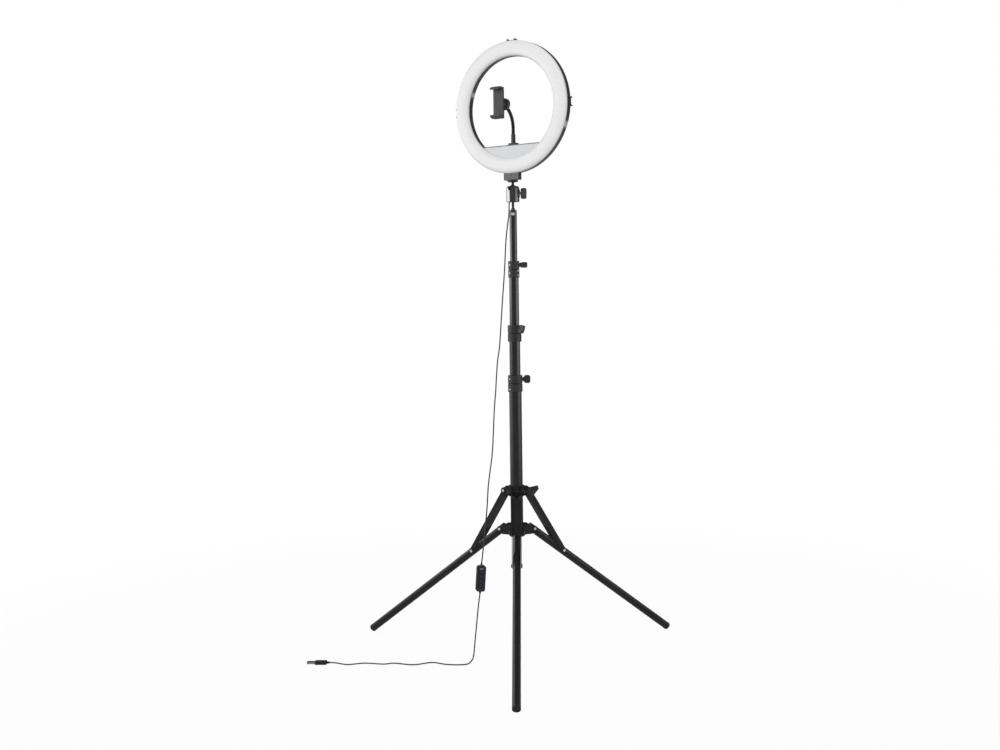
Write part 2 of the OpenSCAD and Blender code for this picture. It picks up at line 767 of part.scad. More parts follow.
module pressure_pad() {
    color("#8d8d8f") translate([0, 0, ball_z]) difference() {
        translate([0, 0, -pad_drop]) cylinder(r = pad_r, h = pad_drop);
        sphere(ball_r + 2 * run_fit);
        translate([-pad_r - cut, -pad_r - cut, -ball_r / 2])
            cube([2 * pad_r + 2 * cut, 2 * pad_r + 2 * cut, ball_r]);
    }
}

module head_knob() {
    flute_count = 12;
    flute_r = 1.6;
    neck_r_knob = 4;
    grip_from = head_r + knob_neck;
    color("#2c2c2e") knob_frame(head_knob_az, head_z + head_knob_up) {
        translate([0, 0, pad_r + tip_gap]) cylinder(r = knob_screw_r, h = grip_from - pad_r);
        translate([0, 0, head_r + head_boss + tip_gap]) cylinder(r = neck_r_knob, h = knob_neck - head_boss);
        difference() {
            translate([0, 0, grip_from]) rotate_extrude() intersection() {
                translate([0, head_knob_len / 2])
                    round_square(2 * head_knob_r, head_knob_len, head_knob_round, $fn = 24);
                square([head_knob_r, head_knob_len]);
            }
            for (i = [0 : flute_count - 1])
                rotate([0, 0, 360 / flute_count * i])
                    translate([head_knob_r + flute_r / 2, 0, grip_from - cut])
                    cylinder(r = flute_r, h = head_knob_len + 2 * cut);
        }
    }
}

module head_stud() {
    nut_across = 5.5;
    stud_bottom = mast_top - plug_len + 4;
    color("#c9cacc") {
        translate([0, 0, stud_bottom])
            cylinder(r = thread_r, h = head_z + head_thread - tip_gap - stud_bottom);
        translate([0, 0, mast_top + plug_cap]) cylinder(r = nut_across, h = stud_nut_h, $fn = 6);
    }
}

module top_plug() {
    color("#262628") difference() {
        union() {
            translate([0, 0, mast_top - plug_len]) cylinder(r = tube_4_r - tube_wall, h = plug_len);
            translate([0, 0, mast_top]) cylinder(r = tube_4_r, h = plug_cap);
        }
        translate([0, 0, mast_top - plug_len + 4]) cylinder(r = thread_r, h = plug_len + plug_cap);
        knob_frame(plug_screw_az, mast_top - plug_screw_drop)
            cylinder(r = plug_screw_r, h = tube_4_r + cut);
    }
}

module plug_screw() {
    head_t = 1.2;
    color("#d7d8da") knob_frame(plug_screw_az, mast_top - plug_screw_drop) {
        translate([0, 0, thread_r + tip_gap]) cylinder(r = plug_screw_r, h = tube_4_r - thread_r);
        translate([0, 0, tube_4_r]) cylinder(r = plug_screw_r + 1.3, h = head_t);
    }
}

module tube_4() {
    color("#2a2a2b") difference() {
        pipe(tube_4_r, tube_wall, mast_top - tube_4_len, mast_top);
        knob_frame(plug_screw_az, mast_top - plug_screw_drop)
            cylinder(r = plug_screw_r, h = tube_4_r + cut);
    }
}

// A bush on the foot of an inner tube that runs inside the next tube
module bush(inner_r, outer_r, bottom) {
    color("#e0dfda") difference() {
        translate([0, 0, bottom - bush_lip])
            cylinder(r = outer_r - tube_wall - run_fit, h = bush_len + bush_lip);
        translate([0, 0, bottom]) cylinder(r = inner_r, h = bush_len + cut);
        translate([0, 0, bottom - bush_lip - cut])
            cylinder(r = inner_r - tube_wall, h = bush_lip + 2 * cut);
    }
}
module bush_4() { bush(tube_4_r, tube_3_r, mast_top - tube_4_len); }
module bush_3() { bush(tube_3_r, tube_2_r, tube_3_top - tube_3_len); }
module bush_2() { bush(tube_2_r, main_r, tube_2_top - tube_2_len); }

// A lock collar of two bands: the lower grips the outer tube, the upper guides the inner tube
module collar(r, outer_r, inner_r, z, azimuth) {
    color("#202021") difference() {
        translate([0, 0, z]) cylinder(r = r, h = collar_h);
        translate([0, 0, z - cut]) cylinder(r = outer_r, h = seat_h + cut);
        translate([0, 0, z]) cylinder(r = inner_r + run_fit, h = collar_h + cut);
        translate([0, 0, z + seat_h]) difference() {
            cylinder(r = r + cut, h = groove_h);
            translate([0, 0, -cut]) cylinder(r = r - groove_d, h = groove_h + 2 * cut);
        }
        knob_frame(azimuth, z + knob_up) cylinder(r = knob_screw_r + run_fit, h = r + cut);
    }
}

// A paddle knob with its screw through a collar, tip just clear of the inner tube
module paddle_knob(r, inner_r, z, azimuth, turn) {
    grip_from = r + tip_gap + knob_neck;
    color("#1e1e20") knob_frame(azimuth, z + knob_up) rotate([0, 0, turn]) {
        translate([0, 0, inner_r + tip_gap])
            cylinder(r = knob_screw_r, h = grip_from - inner_r - tip_gap + cut);
        translate([0, 0, r + tip_gap]) cylinder(r = knob_neck_r, h = knob_neck + cut);
        translate([0, paddle_t / 2, grip_from + paddle_len / 2]) rotate([90, 0, 0])
            linear_extrude(paddle_t) round_square(paddle_w, paddle_len, paddle_len / 3);
    }
}

module tube_3() { color("#2a2a2b") pipe(tube_3_r, tube_wall, tube_3_top - tube_3_len, tube_3_top); }
module collar_a() { collar(collar_a_r, tube_3_r, tube_4_r, collar_a_z, knob_a_az); }
module knob_a() { paddle_knob(collar_a_r, tube_4_r, collar_a_z, knob_a_az, knob_a_turn); }
module tube_2() { color("#2a2a2b") pipe(tube_2_r, tube_wall, tube_2_top - tube_2_len, tube_2_top); }
module collar_b() { collar(collar_b_r, tube_2_r, tube_3_r, collar_b_z, knob_b_az); }
module knob_b() { paddle_knob(collar_b_r, tube_3_r, collar_b_z, knob_b_az, knob_b_turn); }
module main_tube() { color("#2a2a2b") pipe(main_r, tube_wall, main_bottom, main_top); }
module collar_c() { collar(collar_c_r, main_r, tube_2_r, collar_c_z, knob_c_az); }
module knob_c() { paddle_knob(collar_c_r, tube_2_r, collar_c_z, knob_c_az, knob_c_turn); }

// Two cheeks that carry a pivot at a radius, drawn along local +X with the pivot at z = 0
module arm(pivot_r, cheek_in) {
    outer = cheek_in + cheek_t;
    root = sqrt(max(pow(hub_r - 1, 2) - outer * outer, 4));
    inset = arm_tip_r * 0.6;
    for (side = [-1, 1])
        translate([0, side * (cheek_in + cheek_t / 2) + cheek_t / 2, 0]) rotate([90, 0, 0])
            linear_extrude(cheek_t) {
            polygon([[root, -hub_h / 2], [pivot_r - arm_tip_r, -hub_h / 2], [pivot_r + inset, -inset],
                [pivot_r, 1.4 * inset], [pivot_r - arm_tip_r, hub_h / 2], [root, hub_h / 2]]);
            translate([pivot_r, 0]) circle(arm_tip_r);
        }
}

// Lays children along a pivot at a radius and a height, with local z along the pivot
module pivot_frame(azimuth, pivot_r, z) {
    outwards(azimuth) translate([pivot_r, 0, z]) rotate([90, 0, 0]) children();
}

module lower_spider() {
    hub_bottom = main_bottom - hub_floor;
    color("#232325") difference() {
        union() {
            translate([0, 0, hub_bottom]) cylinder(r = hub_r, h = pivot_z + hub_h / 2 - hub_bottom);
            for (a = leg_azimuths)
                outwards(a) translate([0, 0, pivot_z]) arm(leg_pivot_r, low_cheek_in);
        }
        translate([0, 0, main_bottom]) cylinder(r = main_r, h = 2 * hub_h + tube_below);
        for (a = leg_azimuths)
            pivot_frame(a, leg_pivot_r, pivot_z) cylinder(r = bolt_r, h = 4 * hub_r, center = true);
    }
}

// A pivot bolt with a head at each end, through two cheeks
module pivot_bolt(cheek_in) {
    half = cheek_in + cheek_t;
    cylinder(r = bolt_r, h = 2 * half, center = true);
    for (side = [-1, 1])
        translate([0, 0, side * (half + bolt_head / 2)])
            cylinder(r = 2 * bolt_r, h = bolt_head, center = true);
}

module leg_bolts() {
    color("#d0d1d3") for (a = leg_azimuths)
        pivot_frame(a, leg_pivot_r, pivot_z) pivot_bolt(low_cheek_in);
}

module upper_spider() {
    color("#232325") difference() {
        union() {
            translate([0, 0, spider_z - hub_h / 2]) cylinder(r = hub_r, h = hub_h);
            for (a = leg_azimuths)
                outwards(a) translate([0, 0, spider_z]) arm(brace_pivot_r, up_cheek_in);
            knob_frame(spider_knob_az, spider_z) rotate([0, 0, 90])
                cylinder(r = spider_screw_r + 4, h = spider_boss_out);
        }
        translate([0, 0, spider_z]) cylinder(r = main_r + run_fit, h = 2 * hub_h, center = true);
        for (a = leg_azimuths)
            pivot_frame(a, brace_pivot_r, spider_z) cylinder(r = bolt_r, h = 4 * hub_r, center = true);
        knob_frame(spider_knob_az, spider_z)
            cylinder(r = spider_screw_r + run_fit, h = spider_boss_out + cut);
    }
}

module strut_bolts() {
    color("#d0d1d3") for (a = leg_azimuths)
        pivot_frame(a, brace_pivot_r, spider_z) pivot_bolt(up_cheek_in);
}

module spider_knob() {
    grip_from = spider_boss_out + tip_gap + knob_neck;
    color("#1e1e20") knob_frame(spider_knob_az, spider_z) rotate([0, 0, spider_knob_turn]) {
        translate([0, 0, main_r + tip_gap])
            cylinder(r = spider_screw_r, h = grip_from - main_r - tip_gap + cut);
        translate([0, 0, spider_boss_out + tip_gap]) cylinder(r = spider_screw_r + 3, h = knob_neck + cut);
        translate([0, wing_t / 2, grip_from]) rotate([90, 0, 0])
            linear_extrude(wing_t) hull() for (side = [-1, 1]) {
                translate([side * (wing_root_w / 2 - wing_round), wing_round]) circle(wing_round);
                translate([side * (wing_w / 2 - wing_round), wing_len - wing_round]) circle(wing_round);
            }
    }
}

// Lays children along a leg, with local z running out from the pivot
module leg_frame(i) {
    outwards(leg_azimuths[i - 1]) translate([leg_pivot_r, 0, pivot_z])
        rotate([0, 180 - leg_angle, 0]) children();
}

module leg(i) {
    end_t = 2;
    color("#2a2a2b") leg_frame(i) difference() {
        translate([0, 0, -leg_back]) cylinder(r = leg_r, h = leg_back + leg_len - foot_len);
        difference() {
            translate([0, 0, end_t - leg_back]) cylinder(r = leg_r - leg_wall, h = leg_back + leg_len);
            translate([0, 0, brace_at]) rotate([90, 0, 0])
                cylinder(r = bolt_r, h = 2 * leg_r, center = true);
        }
        rotate([90, 0, 0]) cylinder(r = bolt_r + run_fit, h = 4 * leg_r, center = true);
    }
}

module foot(i) {
    color("#171718") difference() {
        leg_frame(i) {
            translate([0, 0, leg_len - foot_len]) cylinder(r = foot_r, h = foot_len);
            translate([0, 0, leg_len - foot_len - foot_plug])
                cylinder(r = leg_r - leg_wall, h = foot_plug + foot_len);
            translate([0, 0, leg_len]) rotate_extrude() intersection() {
                union() {
                    translate([foot_r - foot_round, 0]) circle(foot_round, $fn = 24);
                    square([foot_r - foot_round, foot_round]);
                }
                square([foot_r, foot_round]);
            }
        }
        translate([0, 0, -leg_len]) cube(2 * leg_len, center = true);
    }
}

module strut(i) {
    rivet_t = 1.6;
    web_at = brace_d / 2 - brace_t;
    color("#2d2d2e") outwards(leg_azimuths[i - 1]) translate([brace_pivot_r, 0, spider_z])
        rotate([0, 180 - brace_angle, 0]) {
            for (side = [-1, 1]) {
                difference() {
                    translate([0, side * (brace_in + brace_t / 2) + brace_t / 2, 0]) rotate([90, 0, 0])
                        linear_extrude(brace_t) {
                            translate([-brace_d / 2, 0]) square([brace_d, brace_len]);
                            circle(brace_d / 2);
                            translate([0, brace_len]) circle(brace_d / 2);
                        }
                    rotate([90, 0, 0]) cylinder(r = bolt_r + run_fit, h = 4 * brace_out, center = true);
                }
                translate([0, side * (brace_out + rivet_t / 2), brace_len]) rotate([90, 0, 0])
                    cylinder(r = 1.6 * bolt_r, h = rivet_t, center = true);
            }
            translate([web_at, -brace_out, web_from]) cube([brace_t, 2 * brace_out, web_to - web_from]);
        }
}

// Unit vector along v
function unit(v) = v / norm(v);

// One point of a smooth curve between p1 and p2, at a share u of the way
function smooth_at(p0, p1, p2, p3, u) = 0.5 * (2 * p1 + (p2 - p0) * u
    + (2 * p0 - 5 * p1 + 4 * p2 - p3) * u * u + (3 * p1 - p0 - 3 * p2 + p3) * u * u * u);

// A route with a midpoint added between each two of its points
function smoothed(p) = let (n = len(p) - 1) concat([for (i = [0 : n - 1], u = [0, 0.5])
    smooth_at(p[max(i - 1, 0)], p[i], p[i + 1], p[min(i + 2, n)], u)], [p[n]]);

// Direction of a route at one of its points
function heading(p, i) = unit(p[min(i + 1, len(p) - 1)] - p[max(i - 1, 0)]);

// Side vectors carried along a route without twist
function sides_along(p, i = 0, last = [1, 0, 0], done = []) = i == len(p) ? done :
    let (t = heading(p, i), s = unit(last - (last * t) * t)) sides_along(p, i + 1, s, concat(done, [s]));

// A round tube swept along a route
module swept_tube(route, r) {
    corners = 8;
    rings = len(route);
    side = sides_along(route);
    points = [for (i = [0 : rings - 1], k = [0 : corners - 1])
        let (t = heading(route, i), a = 360 / corners * k)
        route[i] + r * (side[i] * cos(a) + cross(t, side[i]) * sin(a))];
    walls = [for (i = [0 : rings - 2], k = [0 : corners - 1])
        let (a = i * corners + k, b = i * corners + (k + 1) % corners)
        each [[a, a + corners, b], [b, a + corners, b + corners]]];
    first = [for (k = [1 : corners - 2]) [0, k, k + 1]];
    end = (rings - 1) * corners;
    last = [for (k = [1 : corners - 2]) [end, end + k + 1, end + k]];
    polyhedron(points = points, faces = concat(walls, first, last));
}

module cable_upper() {
    tip = ctrl_at + sleeve_tip * ctrl_axis;
    color("#161616") swept_tube(smoothed(concat([gland_tip + [0, tip_gap, 0]], upper_route, [tip])), cable_r);
}

module cable_lower() {
    tip = ctrl_at - sleeve_tip * ctrl_axis;
    color("#161616") swept_tube(smoothed(concat([tip], lower_route, [plug_at])), cable_r);
}

// Stands children in the controller's own frame: x across, y to the back, z up
module ctrl_frame() {
    translate(ctrl_at) rotate([0, 0, ctrl_turn]) rotate([0, ctrl_lean, 0]) children();
}

// A slab of the controller's outline between two depths, with y to the back
module ctrl_slab(from, to, shrink) {
    translate([0, to, 0]) rotate([90, 0, 0]) linear_extrude(to - from)
        round_square(ctrl_w - 2 * shrink, ctrl_h - 2 * shrink, ctrl_round - shrink);
}

// The strain reliefs at the controller's two ends, with a margin when they are cut
module ctrl_sleeves(margin) {
    for (side = [0, 180])
        rotate([side, 0, 0]) translate([0, 0, ctrl_h / 2 - ctrl_wall / 2])
            cylinder(r1 = cable_d + margin, r2 = cable_r + sleeve_wall + margin,
                h = sleeve_len + ctrl_wall / 2);
}

module controller_shell() {
    color("#18181a") ctrl_frame() {
        difference() {
            ctrl_slab(cover_t - ctrl_t / 2, ctrl_t / 2, 0);
            ctrl_slab(cover_t - ctrl_t / 2 - cut, ctrl_t / 2 - ctrl_wall, ctrl_wall);
        }
        ctrl_sleeves(0);
    }
}

// Places children at one of the four buttons, with local z out of the cover
module at_button(place) {
    translate([0, -ctrl_t / 2, button_step * (1.5 - place)]) rotate([90, 0, 0]) children();
}

module controller_cover() {
    color("#26283a") ctrl_frame() difference() {
        ctrl_slab(-ctrl_t / 2, cover_t - ctrl_t / 2, 0);
        ctrl_slab(ctrl_wall - ctrl_t / 2, cover_t - ctrl_t / 2 + cut, ctrl_wall);
        ctrl_sleeves(run_fit);
        for (place = [0 : 3])
            at_button(place) translate([0, 0, -cover_t])
                cylinder(r = button_r + slide_gap, h = cover_t + cut);
    }
}

// A push button with a flange behind the cover that keeps it in
module button(place) {
    flange_t = 1;
    color("#3a3b45") ctrl_frame() at_button(place) {
        translate([0, 0, -ctrl_wall - flange_t - slide_gap])
            cylinder(r = button_r, h = ctrl_wall + flange_t + slide_gap + button_proud);
        translate([0, 0, -ctrl_wall - flange_t - slide_gap]) cylinder(r = button_r + 1, h = flange_t);
    }
}
module button_power() { button(0); }
module button_mode() { button(1); }
module button_brighter() { button(2); }
module button_dimmer() { button(3); }

module usb_plug() {
    tongue_t_usb = 1.8;
    color("#1c1c1e") translate(plug_at) outwards(plug_az) {
        rotate([0, 90, 0]) cylinder(r1 = cable_r + 0.5, r2 = cable_d, h = plug_sleeve + cut);
        translate([plug_sleeve + plug_grip_len / 2, 0, 0]) rotate([90, 0, 90])
            linear_extrude(plug_grip_len, center = true)
                round_square(plug_grip_w, plug_grip_t, plug_grip_t / 4);
        translate([plug_sleeve + plug_grip_len, 0, 0]) {
            difference() {
                translate([-cut, -shell_w / 2, -shell_h / 2]) cube([shell_len + cut, shell_w, shell_h]);
                translate([0, shell_t - shell_w / 2, shell_t - shell_h / 2])
                    cube([shell_len + cut, shell_w - 2 * shell_t, shell_h - 2 * shell_t]);
            }
            translate([-cut, shell_t - shell_w / 2 - shell_t / 2, shell_h / 2 - shell_t - tongue_t_usb])
                cube([shell_len - 1 + cut, shell_w - shell_t, tongue_t_usb + shell_t / 2]);
        }
    }
}

rear_housing();
diffuser();
led_board();
housing_screws();
shoe_top();
shoe_left();
shoe_right();
shelf_plate();
mount_block();
cable_gland();
gooseneck_foot();
gooseneck();
clamp_socket();
lock_nut();
clamp_back();
clamp_jaw();
ball_stem();
lock_disc();
head_housing();
pressure_pad();
head_knob();
head_stud();
top_plug();
plug_screw();
tube_4();
bush_4();
tube_3();
bush_3();
collar_a();
knob_a();
tube_2();
bush_2();
collar_b();
knob_b();
main_tube();
collar_c();
knob_c();
lower_spider();
leg_bolts();
upper_spider();
strut_bolts();
spider_knob();
for (i = [1 : 3]) {
    leg(i);
    foot(i);
    strut(i);
}
cable_upper();
cable_lower();
usb_plug();
controller_shell();
controller_cover();
button_power();
button_mode();
button_brighter();
button_dimmer();
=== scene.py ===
"""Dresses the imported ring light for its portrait: camera, cords, materials, detail, stage and light."""
import json
from math import cos, pi, radians, sin, sqrt

import bmesh
import bpy
from mathutils import Matrix, Vector

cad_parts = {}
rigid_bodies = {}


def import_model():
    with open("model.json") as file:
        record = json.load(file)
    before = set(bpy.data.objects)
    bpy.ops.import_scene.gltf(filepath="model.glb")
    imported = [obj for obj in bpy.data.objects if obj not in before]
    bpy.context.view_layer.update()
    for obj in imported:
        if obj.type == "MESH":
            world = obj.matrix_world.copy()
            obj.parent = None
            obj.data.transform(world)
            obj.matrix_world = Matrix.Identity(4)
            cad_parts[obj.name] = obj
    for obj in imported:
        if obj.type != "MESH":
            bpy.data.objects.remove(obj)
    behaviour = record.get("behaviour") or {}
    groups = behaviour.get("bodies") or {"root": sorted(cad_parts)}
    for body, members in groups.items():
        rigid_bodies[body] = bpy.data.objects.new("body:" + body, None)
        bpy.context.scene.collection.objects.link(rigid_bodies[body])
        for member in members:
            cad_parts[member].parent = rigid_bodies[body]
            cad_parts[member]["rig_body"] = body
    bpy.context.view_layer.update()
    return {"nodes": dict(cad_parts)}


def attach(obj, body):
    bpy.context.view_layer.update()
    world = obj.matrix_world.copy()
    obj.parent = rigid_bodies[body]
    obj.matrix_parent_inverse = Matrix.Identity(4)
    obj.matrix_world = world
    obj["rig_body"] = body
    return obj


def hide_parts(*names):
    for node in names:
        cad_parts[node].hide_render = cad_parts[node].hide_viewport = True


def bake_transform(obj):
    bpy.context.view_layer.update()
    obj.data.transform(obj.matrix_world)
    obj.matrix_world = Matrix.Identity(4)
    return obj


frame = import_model()
NODES = frame["nodes"]
MM = 0.001


# Camera, fitted to the photograph's frame of 1000 x 750
CAMERA_AT = (1.5709, -2.4376, 0.8263)
CAMERA_HEADING = 33.492
CAMERA_PITCH = 3.379
CAMERA_ROLL = -0.775
FOCAL_SHARE = 1.2541
SENSOR_W = 36.0
VIEW_END = 50.0


def add_camera():
    """Stands the camera where the photograph was taken from."""
    data = bpy.data.cameras.new("view")
    data.sensor_fit = "HORIZONTAL"
    data.sensor_width = SENSOR_W
    data.lens = FOCAL_SHARE * SENSOR_W
    data.clip_end = VIEW_END
    camera = bpy.data.objects.new("view", data)
    bpy.context.scene.collection.objects.link(camera)
    turn = Matrix.Rotation(radians(CAMERA_HEADING), 4, "Z")
    tip = Matrix.Rotation(radians(90 - CAMERA_PITCH), 4, "X")
    roll = Matrix.Rotation(radians(CAMERA_ROLL), 4, "Z")
    camera.matrix_world = Matrix.Translation(CAMERA_AT) @ turn @ tip @ roll
    bpy.context.scene.camera = camera


add_camera()


# Sizes shared with the solids, in metres
RING_Z = 1.2678
RING_R = 0.150
RING_IN_R = 0.1155
RING_MID_R = (RING_R + RING_IN_R) / 2
HALF_BAND = (RING_R - RING_IN_R) / 2
RIM_FRONT = 0.004
REAR_BACK = 0.012
DOME_H = 0.009
DOME_SQUARE = 2.8
SHELF_H = 0.0305
SHELF_TOP = RING_Z - RING_IN_R + SHELF_H
SHELF_Y = 0.005
FOOT_W = 0.022
FOOT_D = 0.012
FOOT_H = 0.0045
FERRULE_H = 0.020
FERRULE_R = 0.0052
NECK_R = 0.004
NECK_RISE = 0.013
NECK_BEND_R = 0.052
NECK_BEND = 52
NECK_STEM_R = 0.0025
NECK_STEM = 0.008
NECK_BALL_R = 0.008
HEAD_KNOB_AZ = 33
HEAD_KNOB_GRIP = 0.0179
MAST_TOP = 1.032
PLUG_CAP = 0.002
STUD_NUT_H = 0.004
STUD_NUT_R = 0.0055
STUD_R = 0.003175
STUD_TOP = 1.0607
STUD_PITCH = 0.00127
PLUG_SCREW_AZ = 303
PLUG_SCREW_DOWN = 0.007
PLUG_SCREW_Z = MAST_TOP - PLUG_SCREW_DOWN
TUBE_4_R = 0.0085
COLLAR_A = (0.8795, 0.013)
COLLAR_B = (0.732, 0.0158)
COLLAR_C = (0.616, 0.0168)
GROOVE_FROM = 0.0178
GROOVE_TO = 0.0202
GROOVE_SKIN = 0.0003
CABLE_R = 0.0015
CTRL_AT = Vector((-0.0605, -0.0645, 0.184))
CTRL_TURN = 45
CTRL_LEAN = 4
CTRL_W = 0.021
CTRL_H = 0.060
CTRL_T = 0.012
SLEEVE_LEN = 0.006
PLUG_AT = Vector((-0.324, -0.296, 0.0042))
PLUG_AZ = 211
PLUG_SLEEVE = 0.008
PLUG_GRIP = (0.026, 0.0156, 0.008)
GLAND_X = -0.016
GLAND_Z = RING_Z - sqrt(RING_MID_R ** 2 - GLAND_X ** 2)
GLAND_LEN = 0.007
TIP_GAP = 0.0003
CTRL_FRAME = (Matrix.Translation(CTRL_AT) @ Matrix.Rotation(radians(CTRL_TURN), 4, "Z")
              @ Matrix.Rotation(radians(CTRL_LEAN), 4, "Y"))
PLUG_FRAME = Matrix.Translation(PLUG_AT) @ Matrix.Rotation(radians(PLUG_AZ), 4, "Z")
RING_FRAME = Matrix.Translation((0, 0, RING_Z)) @ Matrix.Rotation(radians(90), 4, "X")
GLAND_FRAME = Matrix.Translation((GLAND_X, REAR_BACK, GLAND_Z)) @ Matrix.Rotation(radians(-90), 4, "X")


# Mesh helpers: distances at which points are joined, and the bend in degrees that counts as flat
SEAM = 1e-7
WELD = 2e-6
FLAT_ANGLE = 0.6


def smooth(mesh, angle=35):
    """Shades a mesh smooth, apart from edges sharper than an angle."""
    mesh.polygons.foreach_set("use_smooth", [True] * len(mesh.polygons))
    mesh.set_sharp_from_angle(angle=radians(angle))
    return mesh


def lean_normals(mesh, angle=35):
    """Lets the larger faces set the shading beside rounded edges, so that they keep their own normals."""
    limit = cos(radians(angle))
    normal_of = [face.normal.copy() for face in mesh.polygons]
    pull_of = [face.normal * face.area for face in mesh.polygons]
    around = [[] for _ in mesh.vertices]
    for face in mesh.polygons:
        for v in face.vertices:
            around[v].append(face.index)
    normals = []
    for face in mesh.polygons:
        own = normal_of[face.index]
        for v in face.vertices:
            total = Vector((0, 0, 0))
            for other in around[v]:
                if normal_of[other].dot(own) > limit:
                    total += pull_of[other]
            normals.append(total.normalized())
    mesh.normals_split_custom_set(normals)


def mesh_from(bm, name, angle=35):
    bmesh.ops.recalc_face_normals(bm, faces=bm.faces)
    mesh = bpy.data.meshes.new(name)
    bm.to_mesh(mesh)
    bm.free()
    return smooth(mesh, angle)


def add_piece(name, mesh, material, body=None, replaced=()):
    piece = bpy.data.objects.new(name, mesh)
    bpy.context.scene.collection.objects.link(piece)
    mesh.materials.clear()
    mesh.materials.append(material)
    if body:
        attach(piece, body)
    if replaced:
        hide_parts(*replaced)
    return piece


def round_edges(bm, width, segments=2, angle=32):
    sharp = [e for e in bm.edges if len(e.link_faces) == 2 and e.calc_face_angle() > radians(angle)]
    if sharp and width > 0:
        bmesh.ops.bevel(bm, geom=sharp, offset=width, segments=segments, profile=0.5, affect="EDGES",
                        clamp_overlap=True)


def soft_copy(node, material, width, segments=2):
    """A copy of a solid with its sharp edges rounded, in the solid's place."""
    bm = bmesh.new()
    bm.from_mesh(NODES[node].data)
    bmesh.ops.remove_doubles(bm, verts=bm.verts, dist=WELD)
    bmesh.ops.dissolve_limit(bm, angle_limit=radians(FLAT_ANGLE), verts=bm.verts, edges=bm.edges)
    round_edges(bm, width * MM, segments)
    mesh = mesh_from(bm, "soft_" + node)
    lean_normals(mesh)
    return add_piece("soft_" + node, mesh, material, NODES[node]["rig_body"], [node])


def lathe_mesh(name, profile, place, steps=96, angle=35):
    """Turns a closed profile of (radius, height) points about local Z."""
    bm = bmesh.new()
    rings = []
    for k in range(steps):
        a = 2 * pi * k / steps
        rings.append([bm.verts.new(place @ Vector((r * cos(a), r * sin(a), z))) for r, z in profile])
    count = len(profile)
    for here, there in zip(rings, rings[1:] + rings[:1]):
        for i in range(count):
            j = (i + 1) % count
            bm.faces.new((here[i], there[i], there[j], here[j]))
    bmesh.ops.remove_doubles(bm, verts=bm.verts, dist=SEAM)
    return mesh_from(bm, name, angle)


def carried_sides(points):
    """Two side vectors at each point of a line, carried along it without twist."""
    sides = []
    last = Vector((1, 0, 0))
    for i in range(len(points)):
        t = (points[min(i + 1, len(points) - 1)] - points[max(i - 1, 0)]).normalized()
        side = (last - t * last.dot(t)).normalized()
        sides.append((side, t.cross(side)))
        last = side
    return sides


def tube_mesh(name, points, radii, sides=12, angle=60):
    """A closed round tube along points, with a radius for each point."""
    bm = bmesh.new()
    rings = []
    for p, r, (u, v) in zip(points, radii, carried_sides(points)):
        turns = [2 * pi * k / sides for k in range(sides)]
        rings.append([bm.verts.new(p + (u * cos(a) + v * sin(a)) * r) for a in turns])
    for here, there in zip(rings, rings[1:]):
        for k in range(sides):
            j = (k + 1) % sides
            bm.faces.new((here[k], here[j], there[j], there[k]))
    bm.faces.new(list(reversed(rings[0])))
    bm.faces.new(rings[-1])
    return mesh_from(bm, name, angle)


def box_mesh(name, low, high, place, width, segments=2):
    """A box with rounded edges between two corners of a local frame."""
    bm = bmesh.new()
    low, high = Vector(low), Vector(high)
    size = high - low
    bmesh.ops.create_cube(bm, size=1.0)
    for v in bm.verts:
        v.co = Vector((v.co.x * size.x, v.co.y * size.y, v.co.z * size.z)) + (low + high) / 2
    round_edges(bm, width, segments)
    bm.transform(place)
    mesh = mesh_from(bm, name)
    lean_normals(mesh)
    return mesh


def outward_frame(azimuth, radius, z):
    """A frame on the mast's side whose local Z points outwards."""
    return (Matrix.Rotation(radians(azimuth), 4, "Z") @ Matrix.Translation((radius, 0, z))
            @ Matrix.Rotation(radians(90), 4, "Y"))


def screw_mesh(name, place, radius, height, sink):
    """A domed screw head with a cross recess, standing on local Z and sunk a little into its seat."""
    bm = bmesh.new()
    shares = [0.0, 0.12, 0.24, 0.36, 0.48, 0.6, 0.72, 0.84, 0.94, 1.0]
    dome_power = 3
    slot_half = 0.15
    slot_reach = 0.62
    slot_level = 0.45
    steps = 48
    grid = []
    for s in shares:
        ring = []
        for k in range(steps):
            x, y = s * cos(2 * pi * k / steps), s * sin(2 * pi * k / steps)
            z = height * sqrt(max(1 - s ** dome_power, 0))
            if min(abs(x), abs(y)) < slot_half and s < slot_reach:
                z *= slot_level
            ring.append(bm.verts.new(place @ Vector((x * radius, y * radius, z))))
        grid.append(ring)
    grid.append([bm.verts.new(v.co - place.to_3x3() @ Vector((0, 0, sink))) for v in grid[-1]])
    for here, there in zip(grid, grid[1:]):
        for k in range(steps):
            j = (k + 1) % steps
            bm.faces.new((here[k], here[j], there[j], there[k]))
    bm.faces.new(list(reversed(grid[-1])))
    bmesh.ops.remove_doubles(bm, verts=bm.verts, dist=SEAM)
    return mesh_from(bm, name, 40)


def smooth_route(points, steps):
    """The curve through a route's points, with a number of steps between each two."""
    n = len(points) - 1
    out = []
    for i in range(n):
        p0, p1, p2, p3 = points[max(i - 1, 0)], points[i], points[i + 1], points[min(i + 2, n)]
        for k in range(steps):
            u = k / steps
            out.append(0.5 * (2 * p1 + (p2 - p0) * u + (2 * p0 - 5 * p1 + 4 * p2 - p3) * u * u
                              + (3 * p1 - p0 - 3 * p2 + p3) * u * u * u))
    out.append(points[n].copy())
    return out


# Materials: the share of the noise between which the colour changes, and the least roughness
PATCH_FROM = 0.3
PATCH_TO = 0.7
LEAST_ROUGH = 0.03


def node_of(tree, kind, **values):
    node = tree.nodes.new(kind)
    for key, value in values.items():
        node.inputs[key].default_value = value
    return node


